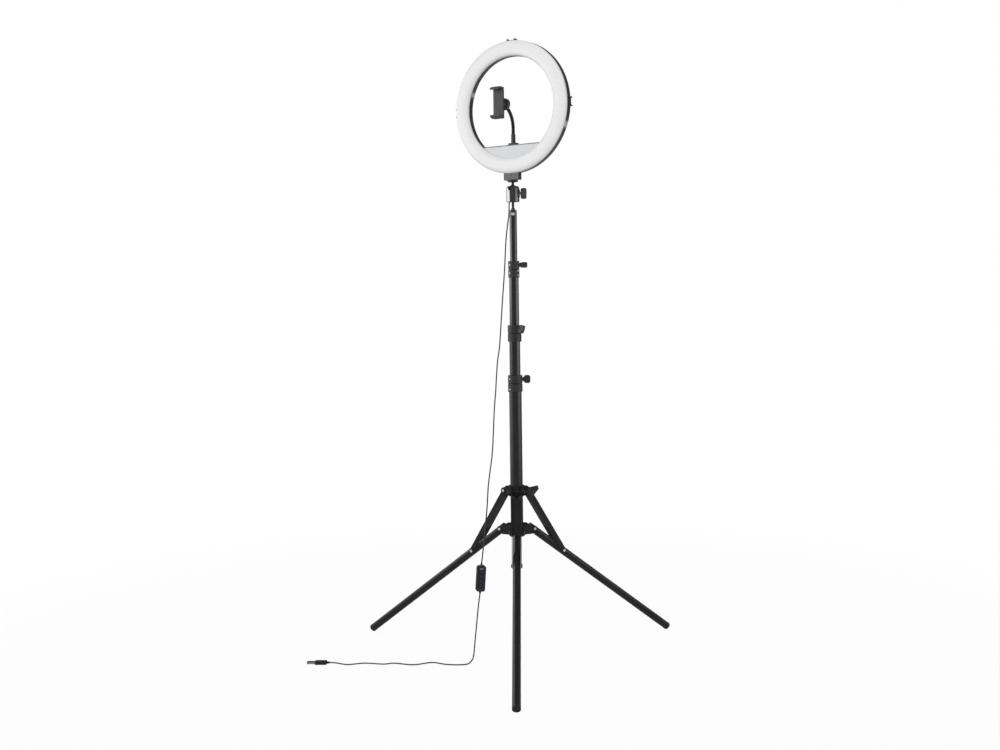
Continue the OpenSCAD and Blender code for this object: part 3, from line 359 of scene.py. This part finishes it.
def make_material(name, colour, rough, metal=0.0, spread=0.12, patch=60.0, grain=1500.0, bump=0.15,
                  bump_mm=0.05, rough_spread=0.12, gleam=0.5, coat=0.0):
    """A surface with patchy colour, uneven gloss and a fine grain, all in object space."""
    material = bpy.data.materials.new(name)
    material.use_nodes = True
    tree = material.node_tree
    shader = tree.nodes["Principled BSDF"]
    shader.inputs["Metallic"].default_value = metal
    shader.inputs["Specular IOR Level"].default_value = gleam
    shader.inputs["Coat Weight"].default_value = coat
    place = tree.nodes.new("ShaderNodeTexCoord")
    cloud = node_of(tree, "ShaderNodeTexNoise", Scale=patch, Detail=4.0, Roughness=0.6)
    fine = node_of(tree, "ShaderNodeTexNoise", Scale=grain, Detail=3.0, Roughness=0.55)
    tree.links.new(place.outputs["Object"], cloud.inputs["Vector"])
    tree.links.new(place.outputs["Object"], fine.inputs["Vector"])
    ramp = tree.nodes.new("ShaderNodeValToRGB")
    low, high = ramp.color_ramp.elements
    low.position, high.position = PATCH_FROM, PATCH_TO
    low.color = [c * (1 - spread) for c in colour] + [1]
    high.color = [min(c * (1 + spread), 1) for c in colour] + [1]
    tree.links.new(cloud.outputs["Fac"], ramp.inputs["Fac"])
    tree.links.new(ramp.outputs["Color"], shader.inputs["Base Color"])
    gloss = tree.nodes.new("ShaderNodeMapRange")
    gloss.inputs["To Min"].default_value = max(rough - rough_spread / 2, LEAST_ROUGH)
    gloss.inputs["To Max"].default_value = min(rough + rough_spread / 2, 1.0)
    tree.links.new(fine.outputs["Fac"], gloss.inputs["Value"])
    tree.links.new(gloss.outputs["Result"], shader.inputs["Roughness"])
    dent = node_of(tree, "ShaderNodeBump", Strength=bump, Distance=bump_mm * MM)
    tree.links.new(fine.outputs["Fac"], dent.inputs["Height"])
    tree.links.new(dent.outputs["Normal"], shader.inputs["Normal"])
    return material


OPAL = make_material("opal", (0.87, 0.87, 0.868), 0.42, spread=0.012, patch=25, grain=900, bump=0.05)
GLOSS_BLACK = make_material("gloss_black", (0.045, 0.045, 0.047), 0.16, spread=0.2, grain=700, bump=0.04,
                            rough_spread=0.08, coat=0.3)
TUBE_BLACK = make_material("tube_black", (0.018, 0.018, 0.019), 0.26, spread=0.2, patch=30, grain=900,
                           bump=0.015, rough_spread=0.03, gleam=0.85)
HEAD_BLACK = make_material("head_black", (0.28, 0.28, 0.285), 0.16, metal=0.95, spread=0.06, grain=1200,
                           bump=0.03, rough_spread=0.06)
GRAIN_BLACK = make_material("grain_black", (0.030, 0.030, 0.031), 0.5, spread=0.2, grain=1400, bump=0.35,
                            bump_mm=0.08)
BRACE_BLACK = make_material("brace_black", (0.024, 0.024, 0.025), 0.45, spread=0.18, patch=35, grain=1100,
                            gleam=0.2)
LEG_BLACK = make_material("leg_black", (0.018, 0.018, 0.019), 0.3, spread=0.2, patch=30, grain=900,
                          bump=0.015, rough_spread=0.04, gleam=0.3)
KNOB_GREY = make_material("knob_grey", (0.058, 0.058, 0.059), 0.55, spread=0.15, grain=1300, bump=0.35,
                          bump_mm=0.08)
CLAMP_GREY = make_material("clamp_grey", (0.056, 0.056, 0.058), 0.55, spread=0.1, grain=1300, bump=0.3,
                           bump_mm=0.06)
BLOCK_GREY = make_material("block_grey", (0.12, 0.119, 0.121), 0.5, spread=0.08, grain=1300, bump=0.25)
PLATE_GREY = make_material("plate_grey", (0.70, 0.715, 0.735), 0.42, spread=0.03, patch=20, bump=0.08)
FOOT_DARK = make_material("foot_dark", (0.03, 0.03, 0.032), 0.4, spread=0.12, grain=1200)
FERRULE_GREY = make_material("ferrule_grey", (0.07, 0.07, 0.072), 0.35, metal=0.4, grain=1000)
NECK_BLACK = make_material("neck_black", (0.012, 0.012, 0.012), 0.35, spread=0.2, bump=0.12)
CHROME = make_material("chrome", (0.72, 0.72, 0.73), 0.18, metal=1.0, spread=0.06, grain=1800, bump=0.05)
ZINC = make_material("zinc", (0.78, 0.78, 0.79), 0.45, metal=0.4, spread=0.05, grain=1500, bump=0.08)
STUD_DARK = make_material("stud_dark", (0.10, 0.10, 0.105), 0.35, metal=0.8, spread=0.1, grain=1500)
RUBBER = make_material("rubber", (0.016, 0.016, 0.016), 0.7, spread=0.2, grain=1600, bump=0.4, bump_mm=0.1)
CABLE = make_material("cable", (0.05, 0.05, 0.051), 0.5, spread=0.15, bump=0.2)
PANEL = make_material("panel", (0.018, 0.02, 0.036), 0.25, spread=0.15, grain=900, bump=0.05, coat=0.3)
BUTTON = make_material("button", (0.03, 0.032, 0.05), 0.4, spread=0.1, bump=0.2)
LINE_LIGHT = make_material("line_light", (0.5, 0.51, 0.54), 0.4, spread=0.05, bump=0.1)
BOARD = make_material("board", (0.75, 0.74, 0.68), 0.45, spread=0.05, grain=800, bump=0.1)
BRASS = make_material("brass", (0.6, 0.45, 0.2), 0.35, metal=1.0, spread=0.1, grain=1000, bump=0.1)
BUSH = make_material("bush", (0.6, 0.6, 0.57), 0.5, spread=0.06, grain=1200)
# Painted shade: a near-black for the bottoms of grooves and holes, standing in for the shade that falls
# there.
RECESS_SHADE = make_material("recess_shade", (0.006, 0.006, 0.006), 0.7, spread=0.2, bump=0.2)

HIDDEN_MATERIALS = {"led_board": BOARD, "pressure_pad": BRASS,
                    "bush_2": BUSH, "bush_3": BUSH, "bush_4": BUSH}
for node_name, node_object in NODES.items():
    node_object.data.materials.clear()
    node_object.data.materials.append(HIDDEN_MATERIALS.get(node_name, GRAIN_BLACK))


# Cords, on the same route as the solids
UPPER_ROUTE = [
    (GLAND_X, REAR_BACK + GLAND_LEN + TIP_GAP, GLAND_Z), (-0.016, 0.025, 1.136), (-0.016, 0.033, 1.1325),
    (-0.016, 0.0365, 1.124), (-0.016, 0.035, 1.112), (-0.0165, 0.025, 1.091), (-0.018, 0.013, 1.055),
    (-0.018, 0.010, 1.025), (-0.019, 0.007, 1.008), (-0.022, 0.002, 0.964), (-0.0235, -0.003, 0.898),
    (-0.0265, -0.009, 0.827), (-0.028, -0.013, 0.781), (-0.0305, -0.018, 0.720), (-0.034, -0.023, 0.680),
    (-0.036, -0.0285, 0.615), (-0.038, -0.032, 0.575), (-0.040, -0.039, 0.480), (-0.044, -0.045, 0.430),
    (-0.047, -0.0485, 0.395), (-0.049, -0.052, 0.345), (-0.053, -0.0565, 0.290), (-0.056, -0.060, 0.250)]
LOWER_ROUTE = [
    (-0.0645, -0.070, 0.120), (-0.0695, -0.0755, 0.055), (-0.0705, -0.0795, 0.025),
    (-0.0665, -0.0895, 0.008), (-0.0575, -0.110, 0.0024), (-0.052, -0.141, 0.0017),
    (-0.087, -0.1635, 0.0017), (-0.1275, -0.169, 0.0017), (-0.1535, -0.205, 0.0017),
    (-0.199, -0.218, 0.0017), (-0.2155, -0.236, 0.0017), (-0.258, -0.253, 0.0017),
    (-0.284, -0.281, 0.0017), (-0.311, -0.288, 0.003)]
ROUTE_STEPS = 8
# The upper cord's stretches, one for each joint it crosses: two bodies and the route point where it ends
UPPER_STRETCHES = [("ring", "ball", 4), ("ball", "head", 5.5), ("head", "mast_4", 7),
                   ("mast_4", "mast_3", 10.75), ("mast_3", "mast_2", 15), ("mast_2", "stand", 23)]


def add_cords():
    """One tube for each joint that the upper cord crosses, and one from the controller to the plug."""
    top_sleeve = CTRL_FRAME @ Vector((0, 0, CTRL_H / 2 + SLEEVE_LEN))
    low_sleeve = CTRL_FRAME @ Vector((0, 0, -CTRL_H / 2 - SLEEVE_LEN))
    line = smooth_route([Vector(p) for p in UPPER_ROUTE] + [top_sleeve], ROUTE_STEPS)
    cords = []
    begin = 0
    for body_a, body_b, stop in UPPER_STRETCHES:
        end = int(stop * ROUTE_STEPS)
        points = line[begin:end + 1]
        name = "cord_" + body_a
        mesh = tube_mesh(name, points, [CABLE_R] * len(points))
        piece = add_piece(name, mesh, CABLE, None, ["cable_upper"])
        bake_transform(piece)
        cords.append((piece, points))
        begin = end
    points = smooth_route([low_sleeve] + [Vector(p) for p in LOWER_ROUTE] + [PLUG_AT], ROUTE_STEPS)
    mesh = tube_mesh("cord_floor", points, [CABLE_R] * len(points))
    cords.append((add_piece("cord_floor", mesh, CABLE, "stand", ["cable_lower"]), points))
    return cords


CORDS = add_cords()


# Solids that only need rounded edges: material and edge radius in mm
SOFT_COPIES = {
    "rear_housing": (GLOSS_BLACK, 0.5), "housing_screws": (CHROME, 0.25), "shelf_plate": (PLATE_GREY, 0.3),
    "shoe_top": (GRAIN_BLACK, 0.25), "shoe_left": (GRAIN_BLACK, 0.25), "shoe_right": (GRAIN_BLACK, 0.25),
    "mount_block": (BLOCK_GREY, 0.8), "clamp_back": (CLAMP_GREY, 1.1), "clamp_jaw": (CLAMP_GREY, 1.1),
    "clamp_socket": (GRAIN_BLACK, 0.5), "lock_nut": (KNOB_GREY, 0.4), "ball_stem": (NECK_BLACK, 0.2),
    "lock_disc": (GRAIN_BLACK, 0.4), "head_housing": (HEAD_BLACK, 0.3), "head_knob": (KNOB_GREY, 0.5),
    "top_plug": (GRAIN_BLACK, 0.3), "tube_4": (TUBE_BLACK, 0.25), "tube_3": (TUBE_BLACK, 0.25),
    "tube_2": (TUBE_BLACK, 0.25), "main_tube": (TUBE_BLACK, 0.25), "collar_a": (GRAIN_BLACK, 0.4),
    "collar_b": (GRAIN_BLACK, 0.4), "collar_c": (GRAIN_BLACK, 0.4), "knob_a": (GRAIN_BLACK, 0.9),
    "knob_b": (GRAIN_BLACK, 0.9), "knob_c": (GRAIN_BLACK, 0.9), "spider_knob": (GRAIN_BLACK, 0.9),
    "lower_spider": (BRACE_BLACK, 0.5), "upper_spider": (BRACE_BLACK, 0.5), "leg_bolts": (BRACE_BLACK, 0.6),
    "strut_bolts": (BRACE_BLACK, 0.6), "leg_1": (LEG_BLACK, 0.3), "leg_2": (LEG_BLACK, 0.3),
    "leg_3": (LEG_BLACK, 0.3), "foot_1": (RUBBER, 0.3), "foot_2": (RUBBER, 0.3), "foot_3": (RUBBER, 0.3),
    "strut_1": (BRACE_BLACK, 0.35), "strut_2": (BRACE_BLACK, 0.35), "strut_3": (BRACE_BLACK, 0.35),
    "controller_shell": (GRAIN_BLACK, 0.9), "controller_cover": (GRAIN_BLACK, 0.9),
    "usb_plug": (RUBBER, 0.5), "button_power": (BUTTON, 0.4), "button_mode": (BUTTON, 0.4),
    "button_brighter": (BUTTON, 0.4), "button_dimmer": (BUTTON, 0.4),
}
SOFT = {node: soft_copy(node, *look) for node, look in SOFT_COPIES.items()}

# Bolts and rivets: a bright dome on each head, dark paint on the rest; heads face along their axis
LEG_AZIMUTHS = (302, 62, 182)
LOW_CHEEK_OUT = 0.0149
UP_CHEEK_OUT = 0.0169
BRACE_OUT = 0.01105
BOLT_RIM = 0.0013
RIVET_RIM = 0.0005
HEAD_DOME = 0.0004
HEAD_FACING = 0.99


def bright_heads(piece, limit, rim):
    """Domes and plates the middle of each flat end that lies beyond a limit beside its leg."""
    mesh = piece.data
    mesh.materials.clear()
    mesh.materials.append(BRACE_BLACK)
    mesh.materials.append(ZINC)
    ways = [Vector((cos(radians(a)), sin(radians(a)), 0)) for a in LEG_AZIMUTHS]
    bm = bmesh.new()
    bm.from_mesh(mesh)
    heads = []
    for face in bm.faces:
        face.material_index = 0
        middle = face.calc_center_median()
        along = max(ways, key=middle.dot)
        across = Vector((-along.y, along.x, 0))
        if abs(middle.dot(across)) > limit and abs(face.normal.dot(across)) > HEAD_FACING:
            heads.append(face)
    bmesh.ops.inset_individual(bm, faces=heads, thickness=rim)
    slopes = bmesh.ops.inset_individual(bm, faces=heads, thickness=2 * HEAD_DOME)["faces"]
    for face in heads:
        bmesh.ops.translate(bm, vec=face.normal * HEAD_DOME, verts=face.verts)
    for face in heads + slopes:
        face.material_index = 1
    bm.to_mesh(mesh)
    bm.free()
    smooth(mesh)
    lean_normals(mesh)


bright_heads(SOFT["leg_bolts"], LOW_CHEEK_OUT, BOLT_RIM)
bright_heads(SOFT["strut_bolts"], UP_CHEEK_OUT, BOLT_RIM)
for brace in ("strut_1", "strut_2", "strut_3"):
    bright_heads(SOFT[brace], BRACE_OUT, RIVET_RIM)


def chrome_neck(piece, azimuth, reach):
    """Chromes a knob's short neck: the faces nearer to the mast than a reach along the knob's axis."""
    piece.data.materials.append(CHROME)
    for face in piece.data.polygons:
        along = face.center.x * cos(radians(azimuth)) + face.center.y * sin(radians(azimuth))
        face.material_index = int(along < reach)


chrome_neck(SOFT["head_knob"], HEAD_KNOB_AZ, HEAD_KNOB_GRIP)


def darken_sides(piece):
    """Darkens all of a block but its front."""
    front_facing = -0.6
    piece.data.materials.append(GRAIN_BLACK)
    for face in piece.data.polygons:
        face.material_index = int(face.normal.y > front_facing)


darken_sides(SOFT["mount_block"])


def paint_groove_shade(piece, z, r):
    """Paints shade on the bottom of the groove between a collar's two bands."""
    piece.data.materials.append(RECESS_SHADE)
    for face in piece.data.polygons:
        inside = sqrt(face.center.x ** 2 + face.center.y ** 2) < r - GROOVE_SKIN
        face.material_index = int(inside and GROOVE_FROM < face.center.z - z < GROOVE_TO)


paint_groove_shade(SOFT["collar_a"], *COLLAR_A)
paint_groove_shade(SOFT["collar_b"], *COLLAR_B)
paint_groove_shade(SOFT["collar_c"], *COLLAR_C)


# Detail pieces
def add_diffuser():
    """The opal crown, turned from the same rounded section as its solid but finer."""
    steps = 72
    power = 2 / DOME_SQUARE
    profile = []
    for k in range(steps + 1):
        a = pi * k / steps
        side = 1 if cos(a) >= 0 else -1
        profile.append((RING_MID_R + HALF_BAND * side * abs(cos(a)) ** power,
                        RIM_FRONT + DOME_H * max(sin(a), 0) ** power))
    lip = 0.002
    profile.append((RING_IN_R + lip, RIM_FRONT - lip))
    profile.append((RING_R - lip, RIM_FRONT - lip))
    mesh = lathe_mesh("opal_crown", profile, RING_FRAME, 256, 50)
    add_piece("opal_crown", mesh, OPAL, "ring", ["diffuser"])


def add_gooseneck():
    """The foot plate, the grooved ferrule and the ribbed neck with the ball on its end."""
    base = SHELF_TOP + FOOT_H
    foot_edge = 0.9 * MM
    foot = box_mesh("neck_foot", (-FOOT_W / 2, SHELF_Y - FOOT_D / 2, SHELF_TOP),
                    (FOOT_W / 2, SHELF_Y + FOOT_D / 2, base), Matrix.Identity(4), foot_edge, 3)
    add_piece("neck_foot", foot, FOOT_DARK, "ring", ["gooseneck_foot"])
    place = Matrix.Translation((0, SHELF_Y, base))
    lip = 0.5 * MM
    groove = (0.72, 0.70, 0.66, 0.64)
    groove_top, groove_high, groove_low, groove_end = [FERRULE_H * share for share in groove]
    ferrule = [(NECK_R, FERRULE_H), (FERRULE_R - lip, FERRULE_H), (FERRULE_R, FERRULE_H - lip),
               (FERRULE_R, groove_top), (FERRULE_R - lip, groove_high), (FERRULE_R - lip, groove_low),
               (FERRULE_R, groove_end), (FERRULE_R, 0), (NECK_R, 0)]
    add_piece("neck_ferrule", lathe_mesh("neck_ferrule", ferrule, place, 48), FERRULE_GREY, "ring",
              ["gooseneck_foot"])
    run = FERRULE_H + NECK_RISE
    arc = NECK_BEND_R * radians(NECK_BEND)
    rib = 0.5 * MM
    rib_shape = (1, 0.97, 0.90, 0.97)
    points, radii = [], []
    for k in range(int((run + arc) / rib) + 1):
        s = k * rib
        t = max(s - run, 0) / NECK_BEND_R
        y = SHELF_Y - NECK_BEND_R * (1 - cos(t))
        points.append(Vector((0, y, base + min(s, run) + NECK_BEND_R * sin(t))))
        radii.append(NECK_R * rib_shape[k % len(rib_shape)])
    away = Vector((0, -sin(radians(NECK_BEND)), cos(radians(NECK_BEND))))
    tip = points[-1].copy()
    centre = NECK_STEM + NECK_BALL_R
    near = centre - sqrt(NECK_BALL_R ** 2 - NECK_STEM_R ** 2)
    cap_at, stem_at = 0.0002, 0.0006
    cap_r = NECK_R * 0.8
    for s, r in ((cap_at, cap_r), (stem_at, NECK_STEM_R), (near, NECK_STEM_R)):
        points.append(tip + away * s)
        radii.append(r)
    ball_steps = 16
    least_square = 1e-8
    for k in range(1, ball_steps):
        s = near + (centre + NECK_BALL_R - near) * sin(pi / 2 * k / ball_steps) ** 2
        points.append(tip + away * s)
        radii.append(sqrt(max(NECK_BALL_R ** 2 - (s - centre) ** 2, least_square)))
    mesh = tube_mesh("ribbed_neck", points, radii, 24, 50)
    add_piece("ribbed_neck", mesh, NECK_BLACK, "ring", ["gooseneck"])


def add_stud():
    """The threaded stud and its bevelled nut between the mast and the ball head."""
    bottom = MAST_TOP + PLUG_CAP
    root_r = STUD_R * 0.86
    turn = [(STUD_R, 0.25), (STUD_R, 0.4), (root_r, 0.75), (root_r, 0.9)]
    thread = [(0, STUD_TOP)]
    z = STUD_TOP
    while z > bottom:
        thread += [(r, z - share * STUD_PITCH) for r, share in turn]
        z -= STUD_PITCH
    thread.append((0, z - STUD_PITCH))
    add_piece("stud_thread", lathe_mesh("stud_thread", thread, Matrix.Identity(4), 48, 25), STUD_DARK,
              "mast_4", ["head_stud"])
    top = bottom + STUD_NUT_H
    bore = STUD_R * 0.9
    nut_edge = 0.35 * MM
    nut = [(bore, bottom), (STUD_NUT_R, bottom), (STUD_NUT_R, top), (bore, top)]
    bm = bmesh.new()
    bm.from_mesh(lathe_mesh("stud_nut", nut, Matrix.Identity(4), 6, 20))
    round_edges(bm, nut_edge)
    add_piece("stud_nut", mesh_from(bm, "stud_nut", 25), STUD_DARK, "mast_4", ["head_stud"])


def add_screws():
    """Plated screw heads on the collars and the mast's top, and the empty hole in the middle collar."""
    head_r, head_h, head_sink = 2.1 * MM, 1.0 * MM, 0.6 * MM
    seat_depth = 0.2 * MM
    seats = [("collar_a_high", "mast_3", COLLAR_A, 255, 0.029),
             ("collar_a_low", "mast_3", COLLAR_A, 255, 0.0105),
             ("collar_a_side", "mast_3", COLLAR_A, 354, 0.0155),
             ("collar_a_foot", "mast_3", COLLAR_A, 354, 0.005),
             ("collar_c_high", "stand", COLLAR_C, 255, 0.0295),
             ("collar_c_low", "stand", COLLAR_C, 255, 0.006)]
    for name, body, (z, r), azimuth, up in seats:
        seat = outward_frame(azimuth, r - seat_depth, z + up)
        mesh = screw_mesh("screw_" + name, seat, head_r, head_h, head_sink)
        add_piece("screw_" + name, mesh, ZINC, body, ())
    z, r = COLLAR_B
    hole_azimuth, hole_depth, hole_up = 309, 0.1 * MM, 0.008
    rim_in, rim_crest, rim_out, rim_low = 2.3 * MM, 2.8 * MM, 3.2 * MM, -0.9 * MM
    bed_r, bed_top, bed_low = 2.4 * MM, 0.12 * MM, -0.8 * MM
    seat = outward_frame(hole_azimuth, r - hole_depth, z + hole_up)
    rim = [(rim_in, 0.2 * MM), (rim_crest, 0.3 * MM), (rim_out, 0), (rim_out, rim_low), (rim_in, rim_low)]
    add_piece("hole_rim", lathe_mesh("hole_rim", rim, seat, 40), GRAIN_BLACK, "mast_2", ())
    # The hole's bed is near-black: painted shade in the empty hole.
    bed = [(0, bed_top), (bed_r, bed_top), (bed_r, bed_low), (0, bed_low)]
    add_piece("hole_bed", lathe_mesh("hole_bed", bed, seat, 40), RECESS_SHADE, "mast_2", ())
    plug_seat = 0.4 * MM
    plug_head_r, plug_head_h, plug_head_sink = 3.6 * MM, 1.6 * MM, 0.8 * MM
    seat = outward_frame(PLUG_SCREW_AZ, TUBE_4_R - plug_seat, PLUG_SCREW_Z)
    mesh = screw_mesh("plug_screw_head", seat, plug_head_r, plug_head_h, plug_head_sink)
    add_piece("plug_screw_head", mesh, ZINC, "mast_4", ["plug_screw"])


def add_gland():
    """The ribbed strain relief where the cord leaves the ring."""
    hole = CABLE_R * 1.02
    end_wall = 0.6 * MM
    ribs = 4
    rib_from, rib_to, rib_mm = 0.15, 0.7, 0.75
    notch, notch_from, notch_to = 0.4 * MM, 0.15 * MM, 0.35 * MM
    flange = 1.2 * MM
    flange_r, flange_top_r, flange_edge = 4.5 * MM, 4.2 * MM, 0.3 * MM
    profile = [(hole, GLAND_LEN), (CABLE_R + end_wall, GLAND_LEN)]
    for k in range(ribs):
        top = GLAND_LEN - (GLAND_LEN - flange) * (k + rib_from) / ribs
        low = GLAND_LEN - (GLAND_LEN - flange) * (k + rib_to) / ribs
        wide = CABLE_R + (rib_mm + rib_mm * (k + 1) / ribs) * MM
        profile += [(wide, top), (wide, low), (wide - notch, low - notch_from),
                    (wide - notch, low - notch_to)]
    profile += [(flange_top_r, flange), (flange_r, flange - flange_edge), (flange_r, 0), (hole, 0)]
    add_piece("gland_ribs", lathe_mesh("gland_ribs", profile, GLAND_FRAME, 48, 25), GRAIN_BLACK, "ring",
              ["cable_gland"])


def add_plug_details():
    """A metal shell and finger ribs on the cord's plug."""
    plug = SOFT["usb_plug"]
    plug.data.materials.append(CHROME)
    inward = PLUG_FRAME.inverted()
    grip_len, grip_w, grip_t = PLUG_GRIP
    shell_from = PLUG_SLEEVE + grip_len + 0.2 * MM
    ribs = 5
    first_rib, rib_step, rib_reach = 0.25, 0.12, 0.36
    rib_half, rib_height, rib_edge = 0.6 * MM, 0.35 * MM, 0.3 * MM
    for face in plug.data.polygons:
        face.material_index = int((inward @ face.center).x > shell_from)
    pieces = [plug]
    for k in range(ribs):
        x = PLUG_SLEEVE + grip_len * (first_rib + rib_step * k)
        low = (x - rib_half, -grip_w * rib_reach, -grip_t / 2)
        high = (x + rib_half, grip_w * rib_reach, grip_t / 2 + rib_height)
        name = "plug_rib_%d" % (k + 1)
        mesh = box_mesh(name, low, high, PLUG_FRAME, rib_edge)
        pieces.append(add_piece(name, mesh, RUBBER, "stand", ()))
    return pieces


def add_panel():
    """The dark front panel of the inline controller, with one short light line."""
    front = -CTRL_T / 2
    proud = 0.15 * MM
    side_margin, end_margin, line_margin = 2.6 * MM, 5.5 * MM, 1.4 * MM
    line_w, line_half = 4.6 * MM, 0.5 * MM
    half_w, half_h = CTRL_W / 2 - side_margin, CTRL_H / 2 - end_margin
    line_at = half_h - line_margin
    mesh = box_mesh("panel", (-half_w, front - proud, -half_h), (half_w, front + proud, half_h),
                    CTRL_FRAME, proud / 2)
    add_piece("panel", mesh, PANEL, "stand", ())
    mesh = box_mesh("panel_line", (-line_w, front - 2 * proud, line_at - line_half),
                    (line_w, front, line_at + line_half), CTRL_FRAME, proud / 2)
    add_piece("panel_line", mesh, LINE_LIGHT, "stand", ())


add_diffuser()
add_gooseneck()
add_stud()
add_screws()
add_gland()
plug_pieces = add_plug_details()
add_panel()


# Stage and light; the gloss shows a pale floor below the first ray slope, dark walls above the second
FLOOR_SIZE = 8.0
FLOOR_DROP = 0.0002
FLOOR_GREY = 0.92
FLOOR_ROUGH = 0.9
FLOOR_NEAR = 0.9
FLOOR_FAR = 1.9
FLOOR_SHARE = 0.06
WORLD_FILL = 0.55
WORLD_GLOSS = 0.10
FLOOR_GLOSS = 0.35
FLOOR_SLOPE = -0.35
WALL_SLOPE = -0.18


def add_stage():
    """A pale floor that keeps a soft shadow and fades into the white background."""
    bpy.ops.mesh.primitive_plane_add(size=FLOOR_SIZE, location=(0, 0, -FLOOR_DROP))
    floor = bpy.context.active_object
    floor.name = "floor"
    material = bpy.data.materials.new("floor")
    material.use_nodes = True
    tree = material.node_tree
    shader = tree.nodes["Principled BSDF"]
    shader.inputs["Base Color"].default_value = (FLOOR_GREY, FLOOR_GREY, FLOOR_GREY, 1)
    shader.inputs["Roughness"].default_value = FLOOR_ROUGH
    shader.inputs["Specular IOR Level"].default_value = 0.0
    clear = tree.nodes.new("ShaderNodeBsdfTransparent")
    mix = tree.nodes.new("ShaderNodeMixShader")
    place = tree.nodes.new("ShaderNodeTexCoord")
    reach = tree.nodes.new("ShaderNodeVectorMath")
    reach.operation = "LENGTH"
    fade = tree.nodes.new("ShaderNodeMapRange")
    fade.interpolation_type = "SMOOTHSTEP"
    fade.inputs["From Min"].default_value = FLOOR_NEAR
    fade.inputs["From Max"].default_value = FLOOR_FAR
    fade.inputs["To Min"].default_value = FLOOR_SHARE
    fade.inputs["To Max"].default_value = 0.0
    tree.links.new(place.outputs["Object"], reach.inputs[0])
    tree.links.new(reach.outputs["Value"], fade.inputs["Value"])
    tree.links.new(fade.outputs["Result"], mix.inputs["Fac"])
    tree.links.new(clear.outputs["BSDF"], mix.inputs[1])
    tree.links.new(shader.outputs["BSDF"], mix.inputs[2])
    tree.links.new(mix.outputs["Shader"], tree.nodes["Material Output"].inputs["Surface"])
    floor.data.materials.append(material)


def add_world():
    """White behind the object, an even fill on it, and a pale floor and dark walls in its gloss."""
    world = bpy.data.worlds.new("studio")
    bpy.context.scene.world = world
    world.use_nodes = True
    tree = world.node_tree
    path = tree.nodes.new("ShaderNodeLightPath")
    fill = tree.nodes["Background"]
    fill.inputs["Color"].default_value = (1, 1, 1, 1)
    fill.inputs["Strength"].default_value = WORLD_FILL
    gloss = tree.nodes.new("ShaderNodeBackground")
    gloss.inputs["Color"].default_value = (1, 1, 1, 1)
    way = tree.nodes.new("ShaderNodeTexCoord")
    split = tree.nodes.new("ShaderNodeSeparateXYZ")
    height = tree.nodes.new("ShaderNodeMapRange")
    height.inputs["From Min"].default_value = FLOOR_SLOPE
    height.inputs["From Max"].default_value = WALL_SLOPE
    height.inputs["To Min"].default_value = FLOOR_GLOSS
    height.inputs["To Max"].default_value = WORLD_GLOSS
    tree.links.new(way.outputs["Generated"], split.inputs["Vector"])
    tree.links.new(split.outputs["Z"], height.inputs["Value"])
    tree.links.new(height.outputs["Result"], gloss.inputs["Strength"])
    seen = tree.nodes.new("ShaderNodeBackground")
    seen.inputs["Color"].default_value = (1, 1, 1, 1)
    seen.inputs["Strength"].default_value = 1.0
    by_gloss = tree.nodes.new("ShaderNodeMixShader")
    by_camera = tree.nodes.new("ShaderNodeMixShader")
    tree.links.new(path.outputs["Is Glossy Ray"], by_gloss.inputs["Fac"])
    tree.links.new(fill.outputs["Background"], by_gloss.inputs[1])
    tree.links.new(gloss.outputs["Background"], by_gloss.inputs[2])
    tree.links.new(path.outputs["Is Camera Ray"], by_camera.inputs["Fac"])
    tree.links.new(by_gloss.outputs["Shader"], by_camera.inputs[1])
    tree.links.new(seen.outputs["Background"], by_camera.inputs[2])
    tree.links.new(by_camera.outputs["Shader"], tree.nodes["World Output"].inputs["Surface"])


def add_lamp(name, azimuth, distance, height, aim, size, glow, lights=True, mirrors=True):
    """A flat lamp turned to a point on the mast; it may be left out of matt light or of reflections."""
    data = bpy.data.lights.new(name, "AREA")
    data.shape = "RECTANGLE"
    data.size, data.size_y = size
    data.energy = glow * pi * size[0] * size[1]
    lamp = bpy.data.objects.new(name, data)
    bpy.context.scene.collection.objects.link(lamp)
    at = Vector((distance * cos(radians(azimuth)), distance * sin(radians(azimuth)), height))
    lamp.location = at
    lamp.rotation_euler = (Vector((0, 0, aim)) - at).to_track_quat("-Z", "Y").to_euler()
    lamp.visible_diffuse = lights
    lamp.visible_glossy = mirrors


add_stage()
add_world()
add_lamp("key", azimuth=284, distance=2.4, height=2.0, aim=0.9, size=(1.8, 1.8), glow=2.7, mirrors=False)
add_lamp("left_high", azimuth=205, distance=1.8, height=1.35, aim=1.35, size=(2.8, 1.1), glow=2.8,
         lights=False)
add_lamp("left_low", azimuth=205, distance=1.8, height=0.475, aim=0.475, size=(2.8, 0.65), glow=0.8,
         lights=False)
add_lamp("right_high", azimuth=19.5, distance=2.0, height=0.92, aim=0.92, size=(2.1, 0.54), glow=2.2,
         lights=False)
add_lamp("right_low", azimuth=19.5, distance=2.0, height=0.4, aim=0.4, size=(2.1, 0.5), glow=0.8,
         lights=False)
add_lamp("ring_spot", azimuth=57, distance=2.3, height=0.75, aim=1.2, size=(0.3, 0.22), glow=3.5,
         lights=False)
bpy.context.scene.view_settings.view_transform = "Standard"
